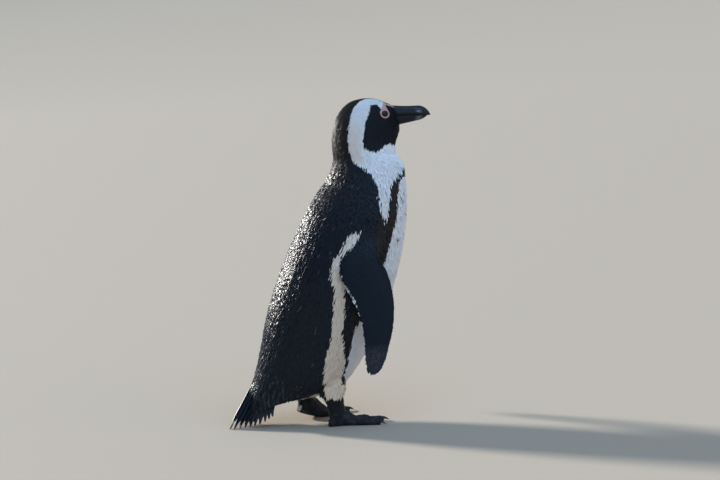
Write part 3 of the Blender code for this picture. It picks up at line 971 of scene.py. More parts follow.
bodyCoat = {
    "spacing": {True: 1.9, False: 2.2},  # of white and of dark feathers
    "length": ((0.6, 36), (1.8, 34), (2.6, 26), (3.4, 21), (4.5, 18), (8, 17), (9.5, 15),
               (10.5, 12)),
    "width": {True: 2.0, False: 3.5},
    "ripple": 24,  # degrees that the waves of the back turn its feathers
    "raggedStation": 0.015,
    "raggedAngle": 0.6,
    "streaked": 118,  # the pale lines of the rump reach up to this angle
    "wingShort": 0.68,  # how much less long and less wide the feathers are down the flipper
    "wingNarrow": 0.45,
    "brownBand": (64, 5.2, 9.9),  # angle and stations of the dark band over the breast
    # the pale feathers are painted glints on the back and the nape, pale fringes and painted
    # highlight on the rump
    "pale": (0.012, 0.9, 0.03),  # chance of a pale feather on the back, the rump and the nape
    "sunk": 0.25,  # how far the roots are under the skin
    "pieces": {  # name: white or not, first and last station, finish
        "rumpFeathers": (False, 1.85, 5.7, "body"),
        "backFeathers": (False, 5.7, 7.75, "body"),
        "mantleFeathers": (False, 7.75, 9.0, "mantle"),
        "shoulderFeathers": (False, 9.0, 10.2, "mantle"),
        "bellyFeathers": (True, 2.2, 7.4, "body"),
        "breastFeathers": (True, 7.4, 10.2, "body"),
    },
}
downy, vaned = ("down", "downLoose", "down"), ("body", "bodyCurled", "bodyLong")


def formBetween(first, last):
    inside = (formStation > first - 0.05) & (formStation < last + 0.05)
    return (formRegion == bodyRegion) & inside


def placeOnBody(points, station, angle, first, last):
    # where a root lies on an unwrap of the body
    return np.column_stack([angle * sideOf(points) / 360 + 0.5, (station - first) / (last - first)])


def asShown(points, up, flow, length):
    # where the visible end of each feather lies, which is what the markings colour
    lie = unit(flow - up * (flow * up).sum(1, keepdims=True))
    ends = points + lie * (length * shownAt)[:, None]
    station, angle, _ = alongBody(ends)
    return ends, station, angle


def hanging(points, station, angle, flow):
    # over the rump and thighs the coat hangs down more than it follows the back
    drop = fade("hanging", station, angle)
    drop *= 0.75 * fadeIn(angle, 18, 25)
    lie = unit(flow * (1 - drop)[:, None] + np.outer(drop, (0.0, 0.0, -1.0)))
    room = (points[:, 2] - ribAt(station, 3)) / np.clip(-lie[:, 2], 0.2, 1)
    return lie, np.where(drop > 0.1, np.maximum(room + 0.5, 7), 99)


def bodyRoots(white, first, last, seed):
    plan = bodyCoat
    rng = np.random.default_rng(seed)
    points, up, blade = rootsOn(formBetween(first, last), plan["spacing"][white], seed)
    station, angle, flow = alongBody(points)
    count = len(points)
    length = lookUp(plan["length"], station) * rng.uniform(0.88, 1.1, count)
    length *= 1 - plan["wingShort"] * blade
    flow, room = hanging(points, station, angle, flow)
    length = np.minimum(length, room)
    ends, endStation, endAngle = asShown(points, up, flow, length)
    ragged = bodyIsWhite(ends, endStation + rng.normal(0, plan["raggedStation"], count),
                         np.abs(endAngle + rng.normal(0, plan["raggedAngle"], count)))
    keep = (ragged == white) & (station >= first) & (station < last)
    # none grow on the blunt end of the tail, where they would stand straight out
    keep &= (station > 2.6) | (np.abs((flow * up).sum(1)) < 0.7)
    points, up, flow, length, ends, station, angle, blade = (
        values[keep] for values in (points, up, flow, length, ends, station, angle, blade))
    count = len(points)
    depth = lookUp(skinPlan["depth"], station) * (1 - blade) + skinPlan["wingDepth"] * blade
    rump = fade("rump", station, angle)
    width = plan["width"][white] * (1 - plan["wingNarrow"] * blade) * (1 - 0.25 * rump)
    width *= rng.uniform(0.85, 1.15, count)
    thick = depth * rng.uniform(0.88, 1.05, count)
    # white feathers take a painted cream of warm light bounced from the floor, more of it low on
    # the body; dark ones are browner on the band and the nape
    flank = fadeIn(station, 9.8, -2.2) * 0.95
    low = fadeIn(station, 5.6, -0.6)
    creamy = np.where(angle > edgeAt("bandInner", station), flank + 0.2, 0.3 + 0.5 * low)
    creamy = creamy * rng.uniform(0.8, 1.1, count)
    edge, rear, front = plan["brownBand"]
    band = (angle < edge) & (station > rear) & (station < front)
    band = band * np.clip((station - 6.4) / 1.6, 0.15, 0.55)
    nape = fade("nape", station, angle)
    browner = np.maximum(band, nape * 0.5) * rng.uniform(0.7, 1.2, count)
    # fine pale lines hang down the rump, pale fringes that are also painted highlight, and on the
    # back's wave crests and the nape some feathers get pale edges as painted glints
    waves = ripples(points, station, angle)
    x, z = ends[:, 0], ends[:, 2]
    lines = np.sin(x * 0.84 + 1.3 * np.sin(z * 0.05) + np.sin(z * 0.13 + 2)) > 0.3
    onBack, onRump, onNape = plan["pale"]
    lines = onRump * rump * lines * (angle < plan["streaked"])
    shade = shadesFor(rng, (waves > 0.2) * onBack * (1 - rump) + lines + onNape * nape)
    # the ridge over the tail lies smoother and flatter
    ridge = fade("tailRidge", station, angle)
    roots = {
        "points": points - up * plan["sunk"], "up": up, "lie": flow,
        "size": np.column_stack([width, length, thick]),
        "place": placeOnBody(points, station, angle, first, last),
        "dark": np.full(count, 0.0 if white else 1.0), "shade": shade,
        "warm": creamy if white else np.clip(browner, 0, 1),
        "kind": np.where(ridge > 0.5, 2, rng.choice(3, count, p=kindShares)),
    }
    if white:
        return ruffled(roots, rng, 4, 4.5, 1.0)
    rolled = plan["ripple"] * (waves * (1 - 0.7 * ridge)) * (1 - blade)
    return ruffled(roots, rng, 3.2, 2.4, 1.0, rolled)


for seed, (name, (white, first, last, finish)) in enumerate(bodyCoat["pieces"].items(), 11):
    layFeathers(name, downy if white else vaned, finish, bodyRoots(white, first, last, seed))

headCoat = {
    "pieces": {  # name: first and last station, spacing, seed
        "neckFeathers": (10.2, 12.9, 1.6, 31),
        "headFeathers": (12.9, 19.4, 1.2, 32),
    },
    "length": ((10, 12.5), (12, 10), (13.5, 7.5), (15, 5.6), (17, 4.2), (19, 2.8)),
    "width": ((10, 2.1), (12, 1.9), (13.5, 1.6), (15, 1.4), (17, 1.3), (19, 1.1)),
    "raggedStation": 0.015,
    "raggedAngle": 0.7,
}


def headRoots(first, last, spacing, seed):
    plan = headCoat
    rng = np.random.default_rng(seed)
    points, up, _ = rootsOn(formBetween(first, last) & (formBare < 0.35), spacing, seed)
    station, angle, flow = alongBody(points)
    keep = (station >= first) & (station < last)
    points, up, flow, station, angle = (
        values[keep] for values in (points, up, flow, station, angle))
    count = len(points)
    length = lookUp(plan["length"], station) * rng.uniform(0.85, 1.12, count)
    width = lookUp(plan["width"], station) * rng.uniform(0.85, 1.15, count)
    high = lookUp(skinPlan["depth"], station) * rng.uniform(0.84, 1.06, count)
    # short feathers stop at the rim of the bare skin
    near = np.clip((fromEyes(points) - eyePlan["ring"]) / 6, 0.25, 1)
    ends, endStation, endAngle = asShown(points, up, flow, length * near)
    near = near * (1 - 0.6 * np.clip(bareness(ends), 0, 1))
    white = bodyIsWhite(ends + rng.normal(0, 0.5, (count, 3)),
                        endStation + rng.normal(0, plan["raggedStation"], count),
                        np.abs(endAngle + rng.normal(0, plan["raggedAngle"], count)))
    nape = fade("headNape", station, angle)
    # the white of the lower hind neck takes the painted cream of warm bounced light
    hind = fade("hindNeck", station, angle) * fadeIn(station, 10.6, 0.8)
    # a few nape feathers get pale edges as painted glints
    shade = shadesFor(rng, 0.04 * nape)
    brown = nape * rng.uniform(0.5, 1, count) * (0.6 + 0.4 * fadeIn(station, 11, 2))
    roots = {
        "points": points - up * 0.15, "up": up, "lie": flow,
        "size": np.column_stack([width, length * near, high * np.sqrt(near)]),
        "place": placeOnBody(points, station, angle, first, last),
        "dark": 1.0 - white, "shade": shade, "warm": np.where(white, 0.05 + 0.6 * hind, brown),
        "kind": rng.choice(3, count, p=kindShares),
    }
    return ruffled(roots, rng, 4.5, 5, 1.5)


for name, plan in headCoat["pieces"].items():
    layFeathers(name, downy, "head", headRoots(*plan))

wingCoat = {
    "pieces": {"flipperFeathersRight": (-1, 40), "flipperFeathersLeft": (1, 42)},  # side, seed
    "spacing": 1.62,
    "length": 5.2,
    "width": 2.1,
    "slant": 0.16,
    "shoulderDepth": 4.6,
    "wornFrom": 176,  # the end of the blade is worn a little paler
    "wearAndSheen": 0.045,
}


def wingRoots(sign, seed):
    plan = wingCoat
    rng = np.random.default_rng(seed)
    mask = (formRegion == wingRegion) & (sideOf(formPoints) == sign)
    points, up, blade = rootsOn(mask, plan["spacing"], seed)
    count = len(points)
    down, across = onWing(points, sign)
    turn = wingTurn(sign)
    outer = (up @ turn)[:, 1] * sign > 0
    fringe = np.clip(1 - across / 0.16, 0, 1)
    slant = -plan["slant"] - 0.12 * fringe
    lie = np.column_stack([slant, np.zeros(count), -np.ones(count)]) @ turn.T
    lead = fadeIn(across, 0.8, 0.2)
    length = plan["length"] * (1 - 0.35 * lead + 0.05 * fringe) * rng.uniform(0.85, 1.12, count)
    length *= 1 + 2.2 * (1 - blade)
    width = plan["width"] * (1 - 0.2 * lead) * (2 - blade) * rng.uniform(0.85, 1.15, count)
    high = skinPlan["wingDepth"] * blade + plan["shoulderDepth"] * (1 - blade)
    high = high * rng.uniform(0.8, 1.05, count)
    ends = points + unit(lie) * (length * shownAt)[:, None]
    endDown, endAcross = onWing(ends, sign)
    white = wingIsWhite(endDown, endAcross + rng.normal(0, 0.012, count), outer,
                        rng.random(count))
    wearAndSheen = outer * fadeIn(endDown, plan["wornFrom"], 14)
    wearAndSheen = wearAndSheen * np.clip(1.6 - 2 * np.abs(endAcross - 0.45), 0, 1)
    faint = plan["wearAndSheen"] * wearAndSheen * rng.uniform(0.2, 1, count)
    over = np.where(outer, 0.0, 0.5) + 0.02 + 0.46 * np.clip(across, 0, 1)
    roots = {
        "points": points - up * 0.12, "up": up, "lie": lie,
        "size": np.column_stack([width, length, high]),
        "place": np.column_stack([over, (down + 30) / 260]),
        "dark": np.clip(1.0 - white - faint, 0, 1), "shade": shadesFor(rng, np.zeros(count)),
        "warm": np.zeros(count), "kind": np.where(blade < 0.75, 1, rng.choice((0, 2), count)),
    }
    return ruffled(roots, rng, 3.5, 4, 1.5)


for name, plan in wingCoat["pieces"].items():
    layFeathers(name, ("scale", "body", "scale"), "wing", wingRoots(*plan))

legCoat = {
    "spacing": 1.7,
    "whiteAbove": 49,
    "bareBelow": 27,
    "axis": {-1: (4, 10), 1: (-46, -42)},  # x of the hip and of the ankle on each side
    "apart": 34,
    # how much painted cream of warm bounced light the white leg feathers take
    "bounceCream": 1.25,
}


def legRoots(seed):
    plan = legCoat
    rng = np.random.default_rng(seed)
    mask = (formRegion == legRegion) & (formPoints[:, 2] > plan["bareBelow"])
    points, up, _ = rootsOn(mask, plan["spacing"], seed)
    count = len(points)
    x, y, z = points.T
    side = sideOf(points)
    hip, ankle = (np.where(side < 0, *pair) for pair in zip(plan["axis"][-1], plan["axis"][1]))
    middle = hip + (ankle - hip) * fadeIn(z, 88, -76)
    white = (z - 5 + rng.normal(0, 1.2, count) > plan["whiteAbove"])
    white &= x - middle + rng.normal(0, 1.2, count) > -8
    station, angle, _ = alongBody(points)
    white = np.where(z > 70, bodyIsWhite(points, station, angle), white)
    low = fadeIn(z, 26, 34)
    size = np.column_stack([2.0 + low, 4 + 7 * low, 0.6 + 2.0 * low])
    size = size * rng.uniform(0.88, 1.1, (count, 1))
    turn = np.degrees(np.arctan2(y - plan["apart"] * side, x - middle))
    over = np.where(side < 0, 0.0, 0.5) + (turn / 360 + 0.5) * 0.49
    roots = {
        "points": points - up * 0.2, "up": up, "lie": np.tile((-0.25, 0.0, -1.0), (count, 1)),
        "size": size, "place": np.column_stack([over, (z - 20) / 90]),
        # white leg feathers are painted darker, as shade
        "dark": 1.0 - white, "shade": 0.5 * rng.random(count) + 0.5 * white,
        "warm": np.where(white, plan["bounceCream"], 0.0), "kind": rng.choice(3, count, p=kindShares),
    }
    return ruffled(roots, rng, 6, 7, 3)


layFeathers("legFeathers", downy, "body", legRoots(51))

# Tail: stiff quills fanned down to the floor, each tip clear of the next

tailPlan = {
    "width": 13.5,
    "thick": 0.6,
    # side view of where the quills start and end, from the ridge of the tail to its lowest edge
    "roots": ((-122, 76), (-114, 69), (-105, 61), (-96, 55)),
    "tips": ((-167, 1.0), (-159, 0.8), (-149, 0.8), (-139, 1.2), (-130, 2.2), (-120.5, 5.2),
             (-109.5, 10), (-101.5, 15), (-94, 20.5)),
    "knots": (0, 0.15, 0.3, 0.45, 0.6, 0.73, 0.81, 0.87, 0.92, 0.97, 1),  # along each quill
    "swell": ((0, 0.5), (0.2, 0.9), (0.5, 1)),  # width from the root on
    "taper": ((0, 0.10), (2, 0.26), (6, 0.36), (11, 0.48), (17, 0.80), (24, 1)),  # and to the tip
    "section": (  # across and up from the middle of the shaft
        (-0.5, -1.1), (-0.05, 0.1), (0.0, 0.75), (0.05, 0.1), (0.5, -1.1), (0.0, -0.45)),
    "hollow": 0.8,  # how far the ridge is bent in
    "farLag": 4.5,  # how much further back the quills of the left half end
    "rootSpread": 12,
    "tipSpread": 24,
    "swing": 16,  # to the right, behind here and down to the tip
    "swingFrom": -125,
    "swingTo": -169,
    "layers": (  # share of the length that shows, how many a side, lift over the layer below
        (1.0, 10, 0.0), (0.6, 9, 0.8)),
}


def sideView(name, q):
    table = np.array(tailPlan[name], float)
    at = q * (len(table) - 1)
    return np.array([np.interp(at, range(len(table)), table[:, k]) for k in (0, 1)])


def quillPoints(q, sign, layer, stray):
    # path of one quill's shaft from root to tip, and the way it faces
    plan = tailPlan
    share, _, lift = plan["layers"][layer]
    root, tip = sideView("roots", q), sideView("tips", q)
    fanned = q ** 0.8
    rootAside = plan["rootSpread"] + 9 * layer
    if sign > 0:
        tip[0] -= plan["farLag"] * q
    path = []
    for t in share * np.array(plan["knots"]):
        x, z = root + (tip - root) * t
        x += plan["hollow"] * (1 - 0.6 * q) * math.sin(math.pi * min(t * 1.25, 1))
        aside = rootAside + (plan["tipSpread"] - rootAside) * t
        y = sign * (1.2 + lift * (0.3 + 0.7 * q) + fanned * aside) + stray * t
        reach = max((plan["swingFrom"] - x) / (plan["swingFrom"] - plan["swingTo"]), 0)
        y -= plan["swing"] * reach ** 1.5
        path.append((x - 0.5 * lift * (1 - q), y, max(z, 0.6)))
    turn = 0.3 + 0.7 * q
    outward = (-0.85 + 0.70 * turn, sign * (0.2 + 0.8 * turn), 0.52 - 0.40 * turn)
    return np.array(path), unit(np.array(outward))


def quillMesh(path, width, thick, outward):
    along = unit(np.gradient(path, axis=0))
    side = unit(np.cross(along, outward))
    up = unit(np.cross(side, along))
    steps = np.linalg.norm(np.diff(path, axis=0), axis=1)
    shares = np.concatenate([[0], np.cumsum(steps)]) / steps.sum()
    wide = width * np.minimum(lookUp(tailPlan["swell"], shares),
                              lookUp(tailPlan["taper"], (1 - shares) * steps.sum()))
    points, spots = [], []
    for i, t in enumerate(shares):
        for offset, high in tailPlan["section"]:
            points.append(path[i] + side[i] * wide[i] * offset + up[i] * thick * high)
            spots.append((0.5 + offset * 0.9, t * 0.9 + 0.05 * (high + 0.6), 0))
    sides = len(tailPlan["section"])
    ends = [tuple(range(sides)), tuple(range(len(points) - sides, len(points)))]
    return points, spots, bands(len(path), sides) + ends


def buildTail():
    rng = np.random.default_rng(61)
    points, spots, faces, place, shade = [], [], [], [], []
    for layer, (_, count, _) in enumerate(tailPlan["layers"]):
        for sign in (-1, 1):
            for i in range(count):
                q = min((i + 0.5 * (layer % 2)) / (count - 1), 1)
                path, outward = quillPoints(q, sign, layer, rng.normal(0, 0.8))
                wide = tailPlan["width"] * rng.uniform(0.9, 1.08)
                some, someSpots, quads = quillMesh(path, wide, tailPlan["thick"], outward)
                faces += [tuple(v + len(points) for v in quad) for quad in quads]
                points += some
                spots += someSpots
                place += [(0.5 + sign * (0.04 + 0.4 * q), 0.2 + 0.25 * layer)] * len(some)
                shade += [0.8 * rng.random()] * len(some)
    mesh = closedMesh("tailQuills", toFrame(points), faces)
    sides = len(tailPlan["section"])
    with editing(mesh) as bm:
        for edge in bm.edges:
            # the rims of the vanes and the foot of the shaft are crisp
            a, b = sorted(v.index for v in edge.verts)
            edge.smooth = not (b - a == sides and a % sides in (0, 1, 3, 4))
    for name, values in (("vane", spots), ("dark", np.ones(len(points))), ("shade", shade),
                         ("warm", np.full(len(points), 0.04))):
        putNumbers(mesh, name, values)
    onMap = np.array(place) + np.array(spots)[:, :2] * tuftPatch
    corners = numbersOf(mesh.loops, "vertex_index", kind=int)
    layer = mesh.uv_layers.new(name="OFBake")
    layer.data.foreach_set("uv", onMap[corners].astype(np.float32).ravel())
    mesh.materials.append(plumage["quill"])
    handOver(newObject("tailQuills", mesh), "black_plumage")


buildTail()

# The skin's own finish: plumage colours under the coat, scaled feet with a painted sheen along the
# toes, bare pink face with painted shade in its folds

skinLook = {
    "underWhite": colour(0.62, 0.62, 0.62),
    "underBlack": colour(0.012, 0.012, 0.015),
    "pink": (colour(0.40, 0.25, 0.255), colour(0.56, 0.40, 0.41)),
    # painted shade in the folds of the bare face and round the eyes
    "crease": colour(0.10, 0.05, 0.05),
    "leather": (colour(0.003, 0.007, 0.013), colour(0.009, 0.015, 0.025)),
    "blush": colour(0.12, 0.085, 0.085),
    # bluish lines of painted sheen along the toes
    "wearAndSheen": colour(0.075, 0.105, 0.14),
    "joint": colour(0.003, 0.004, 0.006),
}


def skinFinish():
    look = skinLook
    finish = Finish("skinFinish", Specular_IOR_Level=0.2)
    dark, pink, foot = finish.number("dark"), finish.number("pink"), finish.number("foot")
    scute = finish.number("scute")
    place = finish.place()
    fine = finish.noise(place, 700, 4)
    broad = finish.noise(place, 60, 3)
    patch = finish.noise(place, 95, 2).ramp(0.50, 0.66)
    under = finish.mix(dark, look["underWhite"], look["underBlack"])
    face = finish.mix(fine.ramp(0.35, 0.7), *look["pink"])
    # the bare face is painted darker in its sunk lines and in the fold round each eye, as shade
    face = finish.mix(scute * 0.7, face, look["crease"])
    leather = finish.mix(broad.ramp(0.3, 0.7), *look["leather"])
    leather = finish.mix(patch * 0.2, leather, look["blush"])
    # paler bluish lines run along the toes, a painted sheen
    wearAndSheen = finish.noise(finish.place((0.16, 1, 1)), 330, 2).ramp(0.56, 0.74)
    leather = finish.mix(wearAndSheen * 0.45, leather, look["wearAndSheen"])
    leather = finish.mix(scute * 0.55, leather, look["joint"])
    tone = finish.mix(foot, finish.mix(pink, under, face), leather)
    rough = 0.62 - foot * 0.04 + (fine - 0.5) * 0.22 - pink * 0.12
    cells = finish.node("ShaderNodeTexVoronoi", {"feature": "DISTANCE_TO_EDGE"}, Vector=place,
                        Scale=900)
    height = fine * 0.5 + cells.ramp(0.0, 0.25) * 0.5
    return finish.wear(Base_Color=tone, Roughness=rough, Normal=finish.bump(height, 0.35, 0.25))


skinDetail = {
    "footTop": 30,  # height up to which the leg has the skin of the foot
    "footScute": 2.3,  # size of the plates on the toes
    "footRelief": 0.34,
    "faceCrease": 1.5,
    "faceFold": 0.22,
    "keepBelow": 34,  # the mesh stays fine under this height on the legs
    "keepWithin": 10,  # and this far round the eyes
    "socket": (7.4, -1.6, 3.2),  # where the face sinks behind each eye, over how much, how deep
}

lidPlan = {
    "profile": (  # distance off the eye's line of sight, height in front of its middle
        (4.6, 5.9), (4.95, 6.6), (5.15, 6.98), (5.4, 7.3), (5.7, 7.38), (5.95, 7.2), (6.2, 7.12),
        (6.5, 7.28), (6.85, 7.3), (7.15, 7.1), (7.55, 6.9), (8.1, 6.6)),
    "sides": 96,
    "thick": 1.6,
    "lidRim": 5.6,  # the lids are a little less open than wide inside this
    # the fold is painted dark as shade
    "innerRim": 5.35,  # and dark inside this
    "crease": (6.1, 0.25),  # the dark fold between the lids and the ring, and half its width
}


def lidMesh(sign):
    # a ring of lids and folds round one eye, out to the feathers of the face
    centre, look, across, high = eyeFrame(sign)
    profile, sides = smoothRows(lidPlan["profile"], 3), lidPlan["sides"]
    wobble = np.tile(np.random.default_rng(71).normal(0, 1, sides), 3)
    wobble = np.convolve(wobble, np.ones(5) / 5, "same")[sides:2 * sides]
    points = []
    for radius, forward in profile:
        wrinkled = fadeIn(radius, 5.1, 1.0) * fadeIn(radius, 8.1, -1.7)
        for j in range(sides):
            a = 2 * math.pi * j / sides
            fold = 0.10 * math.sin(17 * a + radius * 1.3) + 0.08 * wobble[j]
            squeeze = 1 - 0.06 * math.sin(a) ** 2 * (radius < lidPlan["lidRim"])
            off = across * math.cos(a) * radius + high * math.sin(a) * radius * squeeze
            points.append(centre + off + look * (forward + fold * wrinkled))
    rows = len(profile)
    faces = bands(rows, sides)
    # a wall closes the ring behind
    outerRow, base = (rows - 1) * sides, len(points)
    points += [p - look * lidPlan["thick"] for p in points[:sides] + points[outerRow:]]
    for j in range(sides):
        k = (j + 1) % sides
        faces += [(j, k, base + k, base + j),
                  (outerRow + k, outerRow + j, base + sides + j, base + sides + k),
                  (base + j, base + k, base + sides + k, base + sides + j)]
    return closedMesh("lids", toFrame(points), [f if sign > 0 else f[::-1] for f in faces])


def thinSkin():
    # the mesh is thinned under the coat, and made finer on the feet
    points = pointsOf(skinForm.data)
    edge, over, deep = skinDetail["socket"]
    for sign in (-1, 1):
        sink = fadeIn(fromEye(points, sign), edge, over)
        points -= eyeFrame(sign)[1] * (sink * deep)[:, None]
    setPoints(skinForm.data, points)
    low = (formRegion == legRegion) & (formPoints[:, 2] < skinDetail["keepBelow"])
    face = (fromEyes(formPoints) < skinDetail["keepWithin"]) | (formBare > 0.05)
    kept = (formRegion == footRegion) | low | face
    group = skinForm.vertex_groups.new(name="thin")
    group.add([int(i) for i in np.nonzero(~kept)[0]], 1.0, "REPLACE")
    thin = skinForm.modifiers.new("thin", "DECIMATE")
    thin.ratio = skinPlan["bodyShare"]
    thin.vertex_group = "thin"
    thin.vertex_group_factor = 1
    mesh = applyModifiers(skinForm)
    skinForm.vertex_groups.clear()
    with editing(mesh) as bm:
        region = bm.verts.layers.int["region"]
        fine = [edge for edge in bm.edges if all(v[region] == footRegion for v in edge.verts)]
        bmesh.ops.subdivide_edges(bm, edges=fine, cuts=1, use_grid_fill=True)
        bmesh.ops.triangulate(bm, faces=[f for f in bm.faces if len(f.verts) > 4])
    return mesh


def finishSkin():
    mesh = thinSkin()
    # plates are raised on the feet and folds on the face
    points, up = pointsOf(mesh), normalsOf(mesh)
    region = numbersOf(mesh.attributes["region"].data, kind=int)
    low = (region == legRegion) & (points[:, 2] < skinDetail["footTop"])
    foot = spread(mesh, ((region == footRegion) | low) * 1.0, 3)
    first, second = worley(points * (1, 1, 1.2), skinDetail["footScute"], 81)
    gap = np.clip((second - first) / 0.16, 0, 1)
    raised = foot * fadeIn(points[:, 2], 1.2, 2)
    wrinkle = bareness(points)
    first, second = worley(points * (1.6, 1, 0.9), skinDetail["faceCrease"], 82)
    crease = np.clip((second - first) / 0.3, 0, 1)
    move = raised * (gap - 0.6) * skinDetail["footRelief"]
    move = move + wrinkle * (crease - 0.6) * skinDetail["faceFold"]
    points = points + up * move[:, None]
    points[:, 2] = np.maximum(points[:, 2], floorGap)
    setPoints(mesh, points)

    joined = joinMeshes("skin", [mesh, lidMesh(-1), lidMesh(1)])
    points = pointsOf(joined)
    lids = np.zeros(len(points) - len(foot))
    region, foot = np.append(region, lids), np.append(foot, lids)
    station, angle, _ = alongBody(points)
    white = bodyIsWhite(points, station, angle).astype(float)
    for sign in (-1, 1):
        here = (region == wingRegion) & (sideOf(points) == sign)
        down, across = onWing(points[here], sign)
        outer = (normalsOf(joined)[here] @ wingTurn(sign))[:, 1] * sign > 0
        white[here] = wingIsWhite(down, across, outer, 0.5)
    white[(region == legRegion) & (points[:, 2] < legCoat["whiteAbove"])] = 0
    off = fromEyes(points)
    middle, half = lidPlan["crease"]
    # the gaps between the foot's plates are dark joints; the sunk lines of the bare face and the
    # fold round each eye are painted dark as shade
    scute = np.append((1 - gap) * raised + (1 - crease) * wrinkle * 0.5, lids)
    scute = np.maximum(scute, (np.abs(off - middle) < half) * 0.8)
    scute = np.maximum(scute, (off < lidPlan["innerRim"]) * 1.0)
    for name, values in (("dark", 1 - white), ("pink", np.clip(bareness(points) * 1.2, 0, 1)),
                         ("foot", foot), ("scute", scute)):
        putNumbers(joined, name, values)
    joined.materials.clear()
    joined.materials.append(skinFinish())
    handOver(newObject("skin", joined), "foot_skin", *skinPlan["flesh"])
    bpy.data.objects.remove(skinForm)


finishSkin()

# Eyes

def eyeFinish():
    finish = Finish("eyeGloss", Roughness=0.04, Specular_IOR_Level=0.22)
    off = finish.number("off")
    spokes = finish.noise(finish.place(), 1600, 2)
    rim, lit = colour(0.010, 0.005, 0.004), colour(0.032, 0.016, 0.012)
    iris = finish.mix(spokes.ramp(0.35, 0.7), rim, lit)
    iris = finish.mix(off.ramp(*eyePlan["iris"]), iris, rim)
    tone = finish.mix(off.ramp(*eyePlan["pupil"]), colour(0.0015, 0.0015, 0.002), iris)
    return finish.wear(Base_Color=tone)


def buildEye(sign, name, node, finish):
    centre, look, across, high = eyeFrame(sign)
    rings, sides, ball = 26, 48, eyePlan["ball"]
    tall, wide = eyePlan["cornea"]
    points = [centre + look * (ball + tall)]
    for i in range(1, rings):
        polar = math.pi * i / rings
        bulge = tall * hump(math.degrees(polar), 0, wide)
        for j in range(sides):
            a = 2 * math.pi * j / sides
            out = across * math.cos(a) + high * math.sin(a)
            direction = look * math.cos(polar) + out * math.sin(polar)
            points.append(centre + direction * (ball + bulge))
    points.append(centre - look * ball)
    last = len(points) - 1
    faces = fan(0, 1, sides) + bands(rings - 1, sides, 1) + fan(last, last - sides, sides)
    mesh = closedMesh(name, toFrame(points), faces)
    putNumbers(mesh, "off", fromEye(pointsOf(mesh), sign))
    mesh.materials.append(finish)
    handOver(newObject(name, mesh), "eye", node)


eyeGloss = eyeFinish()
buildEye(-1, "eyeballRight", "eye_right", eyeGloss)
buildEye(1, "eyeballLeft", "eye_left", eyeGloss)

# Bill: two horny halves with plates, a groove to the nostril and a hooked tip

billPlan = {
    "base": 134,
    "tip": 196,
    "dip": 3.5,
    "culmen": 519.5,
    "mouth": (503.5, 505),
    "gonys": 485.6,
    "halfWidth": 9.6,
    "gap": -0.2,  # the halves touch, and their rounded lips leave a dark line
    "leastTall": 0.9,
    "stations": 64,
    "sides": 44,
    "behind": 0.07,  # share of the length that reaches back under the feathers
    # name: node, share of the length, share of the width, height of the widest line, upper half
    "halves": {"billUpper": ("bill_upper", 1.0, 1, -0.84, 1),
               "billLower": ("bill_lower", 0.93, 0.93, 0.82, 0)},
}


def mouthAt(share):
    low, high = billPlan["mouth"]
    return low + (high - low) * share + 0.4 * math.sin(share * 5.2)


def culmenAt(share):
    hook = max(share - 0.66, 0) / 0.34
    dip = 0.7 * math.sin(math.pi * min(share / 0.66, 1))
    return billPlan["culmen"] - dip - 12 * hook ** 2.3


def upperEdgeAt(share):
    hook = max(share - 0.82, 0) / 0.18
    return mouthAt(share) - 1.2 * hook ** 1.5


def gonysAt(share):
    rise = max(share - 0.7, 0) / 0.23
    return billPlan["gonys"] + 14.5 * share + 4.8 * rise ** 2


def billHalfWidth(share):
    return billPlan["halfWidth"] * (1 - 0.45 * share) * math.sqrt(max(1 - share ** 6, 0)) + 0.7


def superEllipse(c, power):
    return math.copysign(abs(c) ** (2 / power), c)


def billRelief(share, height, upper):
    # how far the horn is sunk: the groove above the nostril, the joints of the plates, the nostril
    groove = 0.55 * hump(height, 0.60 - 0.30 * share, 0.055) * (share < 0.72) * upper
    hole = ((share - 0.20) / 0.055) ** 2 + ((height - 0.53) / 0.06) ** 2
    nostril = 1.5 * math.exp(-hole) * upper
    joint = 0.36 * hump(share - 0.66, 0.10 * height, 0.018)
    lower = 0.25 * hump(height - 0.45, 0.2 * share, 0.06) * (share < 0.7) * (1 - upper)
    lip = -0.22 * hump(height, 0.03 if upper else 0.97, 0.07)
    return groove + nostril + joint + lower + lip


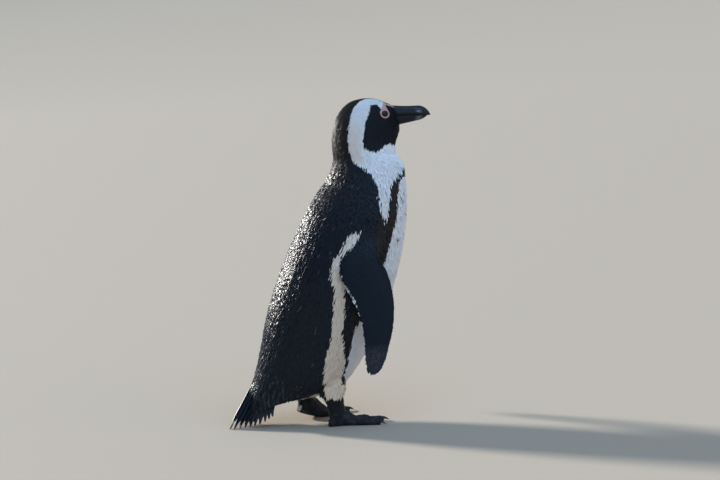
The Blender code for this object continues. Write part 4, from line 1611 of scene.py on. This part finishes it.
def billHalf(name, finish):
    plan = billPlan
    node, end, slim, widest, upper = plan["halves"][name]
    turn, sides = math.radians(plan["dip"]), plan["sides"]
    base, culmen = plan["base"], plan["culmen"]
    points = []
    for i in range(plan["stations"] + 1):
        t = i / plan["stations"]
        share = end * (t if t < 0.8 else 0.8 + 0.2 * math.sin((t - 0.8) / 0.2 * math.pi / 2))
        share = share * (1 + plan["behind"]) - plan["behind"]
        x = base + (plan["tip"] - base) * share
        s = max(share, 0)
        if upper:
            low = upperEdgeAt(s) + plan["gap"]
            high = max(culmenAt(s), low + plan["leastTall"])
        else:
            high = mouthAt(s) - plan["gap"]
            low = min(gonysAt(s), high - plan["leastTall"])
        half = billHalfWidth(s) * slim * math.sqrt(max(1 - (s / end) ** 9, 0.02))
        # the very tip is rounded, about a point low on its end
        rounded = math.sqrt(max(1 - (s / end) ** 30, 0.06))
        middle, tall = (low + high) / 2, (high - low) / 2 * rounded
        middle += (low * 0.65 + high * 0.35 - middle) * (1 - rounded)
        for j in range(sides):
            a = 2 * math.pi * j / sides
            c = superEllipse(math.cos(a), 2.15)
            up = widest + (1 - widest if c > 0 else 1 + widest) * c
            aside = superEllipse(math.sin(a), 1.9) * half
            sunk = billRelief(s, (up + 1) / 2, upper) * min(1, half / 4)
            aside -= math.copysign(min(sunk, abs(aside) * 0.5), aside)
            dx, dz = x - base, middle + tall * up - culmen
            points.append((base + dx * math.cos(turn) + dz * math.sin(turn), aside,
                           culmen - dx * math.sin(turn) + dz * math.cos(turn)))
    last = len(points) - sides
    faces = bands(plan["stations"] + 1, sides) + fan(last + sides, 0, sides)
    faces += fan(last + sides + 1, last, sides)
    points += [np.mean(points[:sides], axis=0), np.mean(points[last:], axis=0)]
    mesh = closedMesh(name, toFrame(points), faces)
    mesh.materials.append(finish)
    handOver(newObject(name, mesh), "bill_horn", node)


billLook = {
    "horn": (colour(0.003, 0.007, 0.013), colour(0.009, 0.015, 0.024)),
    "chips": colour(0.06, 0.072, 0.088),
    "pale": colour(0.34, 0.35, 0.40),
    "bandAt": 175.5,  # middle of the pale band, and its height on each half
    "bandHigh": 509.2,
    "bandLow": 495.5,
}


def billFinish():
    look = billLook
    finish = Finish("billHorn", Specular_IOR_Level=0.24)
    place = finish.place()
    x, z = finish.split(place, "X") / mm - home[0], finish.split(place, "Z") / mm
    grain = finish.noise(finish.place((0.18, 1, 1)), 900, 4)
    blur = finish.noise(place, 260, 3)
    rough = (grain - 0.5) * 3.0 + (blur - 0.5) * 7
    # a soft worn band crosses both halves, broken into fine streaks that run to the tip; the
    # streaks on the upper half are partly the band's own colour and partly painted reflection on
    # its ridges
    band = (1 - abs(x + rough - look["bandAt"]) / 7.5).ramp(0, 0.8)
    ahead = x - look["bandAt"]
    high = (1 - abs(z - look["bandHigh"] + ahead * 0.25) / 4.2).ramp(0, 0.7)
    low = (1 - abs(z - look["bandLow"] - ahead * 0.2) / 6.5).ramp(0, 0.6)
    streaks = finish.noise(finish.place((0.14, 1, 1), (0, 0.3, 0)), 620, 2).ramp(0.42, 0.70)
    pale = (band * (low * (0.28 + 0.35 * streaks) + high * (0.06 + 0.85 * streaks))).held()
    horn = finish.mix(grain.ramp(0.35, 0.75), *look["horn"])
    chips = finish.noise(finish.place((0.4, 1, 1)), 420, 3).ramp(0.62, 0.74)
    horn = finish.mix(chips * 0.16, horn, look["chips"])
    tone = finish.mix(pale * 0.8, horn, look["pale"])
    return finish.wear(Base_Color=tone, Roughness=0.36 + grain * 0.16 + chips * 0.12,
                       Normal=finish.bump(grain * 0.7 + blur * 0.3, 0.35, 0.3))


billHorn = billFinish()
for name in billPlan["halves"]:
    billHalf(name, billHorn)

# Claws: smooth curved horn over the solids

def clawFinish():
    finish = Finish("clawHorn", Specular_IOR_Level=0.35)
    grain = finish.noise(finish.place(), 800, 4)
    tone = finish.mix(grain.ramp(0.35, 0.7), colour(0.005, 0.006, 0.008),
                      colour(0.028, 0.026, 0.026))
    return finish.wear(Base_Color=tone, Roughness=0.28 + grain * 0.25,
                       Normal=finish.bump(grain, 0.3, 0.15))


def buildClaws():
    names = [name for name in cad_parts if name.startswith("claw_")]
    mesh = joinMeshes("claws", [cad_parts[name].data for name in sorted(names)])
    with editing(mesh) as bm:
        bmesh.ops.remove_doubles(bm, verts=bm.verts, dist=weld)
    claws = newObject("claws", mesh)
    smooth = claws.modifiers.new("round", "SUBSURF")
    smooth.levels = smooth.render_levels = 1
    mesh = applyModifiers(claws)
    mesh.materials.clear()
    mesh.materials.append(clawFinish())
    mesh.shade_smooth()
    handOver(claws, "claw_horn", *names)


buildClaws()
for vane in vanes.values():
    bpy.data.objects.remove(vane)

# Floor, light and camera

floorPlan = {"flat": 3.0, "riseFrom": 12, "reach": 60.0, "rise": 15.0, "rings": 40, "sides": 128}


def floorFinish():
    finish = Finish("paleFloor", Specular_IOR_Level=0.2)
    grain = finish.noise(finish.place(), 240, 4)
    tone = finish.mix(grain, colour(0.349, 0.306, 0.254), colour(0.399, 0.354, 0.301))
    return finish.wear(Base_Color=tone, Roughness=0.82 + grain * 0.1)


def buildStage():
    # a floor that is flat round the bird and sweeps up far behind it, with no edge in sight
    plan = floorPlan
    rings, sides = plan["rings"], plan["sides"]
    points = [(0, 0, 0)]
    for i in range(rings):
        far = plan["flat"] * (plan["reach"] / plan["flat"]) ** (i / (rings - 1))
        share = max(far - plan["riseFrom"], 0) / (plan["reach"] - plan["riseFrom"])
        for j in range(sides):
            a = 2 * math.pi * j / sides
            points.append((far * math.cos(a), far * math.sin(a), plan["rise"] * share ** 2))
    mesh = bpy.data.meshes.new("floor")
    mesh.from_pydata(points, [], fan(0, 1, sides) + bands(rings, sides, 1))
    mesh.shade_smooth()
    mesh.materials.append(floorFinish())
    newObject("floor", mesh)


lightPlan = {
    # name: angle round from the front of the bird, height, softness in degrees, strength, colour
    "sun": (148, 22, 7, 6.6, (1.0, 0.955, 0.90)),
    "sky": (-66, 60, 60, 1.65, (0.28, 0.62, 1.0)),
    "bounce": (-28, 12, 50, 0.7, (1.0, 0.80, 0.76)),
}
worldPlan = {"Color": (0.86, 0.90, 0.95, 1), "Strength": 0.44}


def buildLights():
    for name, (around, height, soft, strength, tint) in lightPlan.items():
        light = bpy.data.lights.new(name, "SUN")
        light.angle, light.energy, light.color = math.radians(soft), strength, tint
        a, h = math.radians(around), math.radians(height)
        away = Vector((math.cos(a) * math.cos(h), math.sin(a) * math.cos(h), math.sin(h)))
        lamp = newObject(name, light)
        lamp.location = away * 3
        lamp.rotation_euler = away.to_track_quat("Z", "Y").to_euler()
    world = bpy.data.worlds.new("studio")
    world.use_nodes = True
    for name, value in worldPlan.items():
        world.node_tree.nodes["Background"].inputs[name].default_value = value
    bpy.context.scene.world = world


cameraPlan = {
    "lens": 85,
    "distance": 2.8,
    "height": 7.5,  # degrees above level
    "roll": 3.5,
    "aim": (68, 0, 301.8),
}


def buildCamera():
    plan = cameraPlan
    lens = bpy.data.cameras.new("camera")
    lens.lens, lens.sensor_width = plan["lens"], 36
    camera = newObject("camera", lens)
    up = math.radians(plan["height"])
    aim = Vector(toFrame(plan["aim"]))
    camera.location = aim + Vector((0, -math.cos(up), math.sin(up))) * plan["distance"]
    tilt = Matrix.Rotation(math.pi / 2 - up, 4, "X")
    roll = Matrix.Rotation(-math.radians(plan["roll"]), 4, "Z")
    camera.rotation_euler = (tilt @ roll).to_euler()
    bpy.context.scene.camera = camera


buildStage()
buildLights()
buildCamera()
bpy.context.scene.view_settings.view_transform = "Standard"
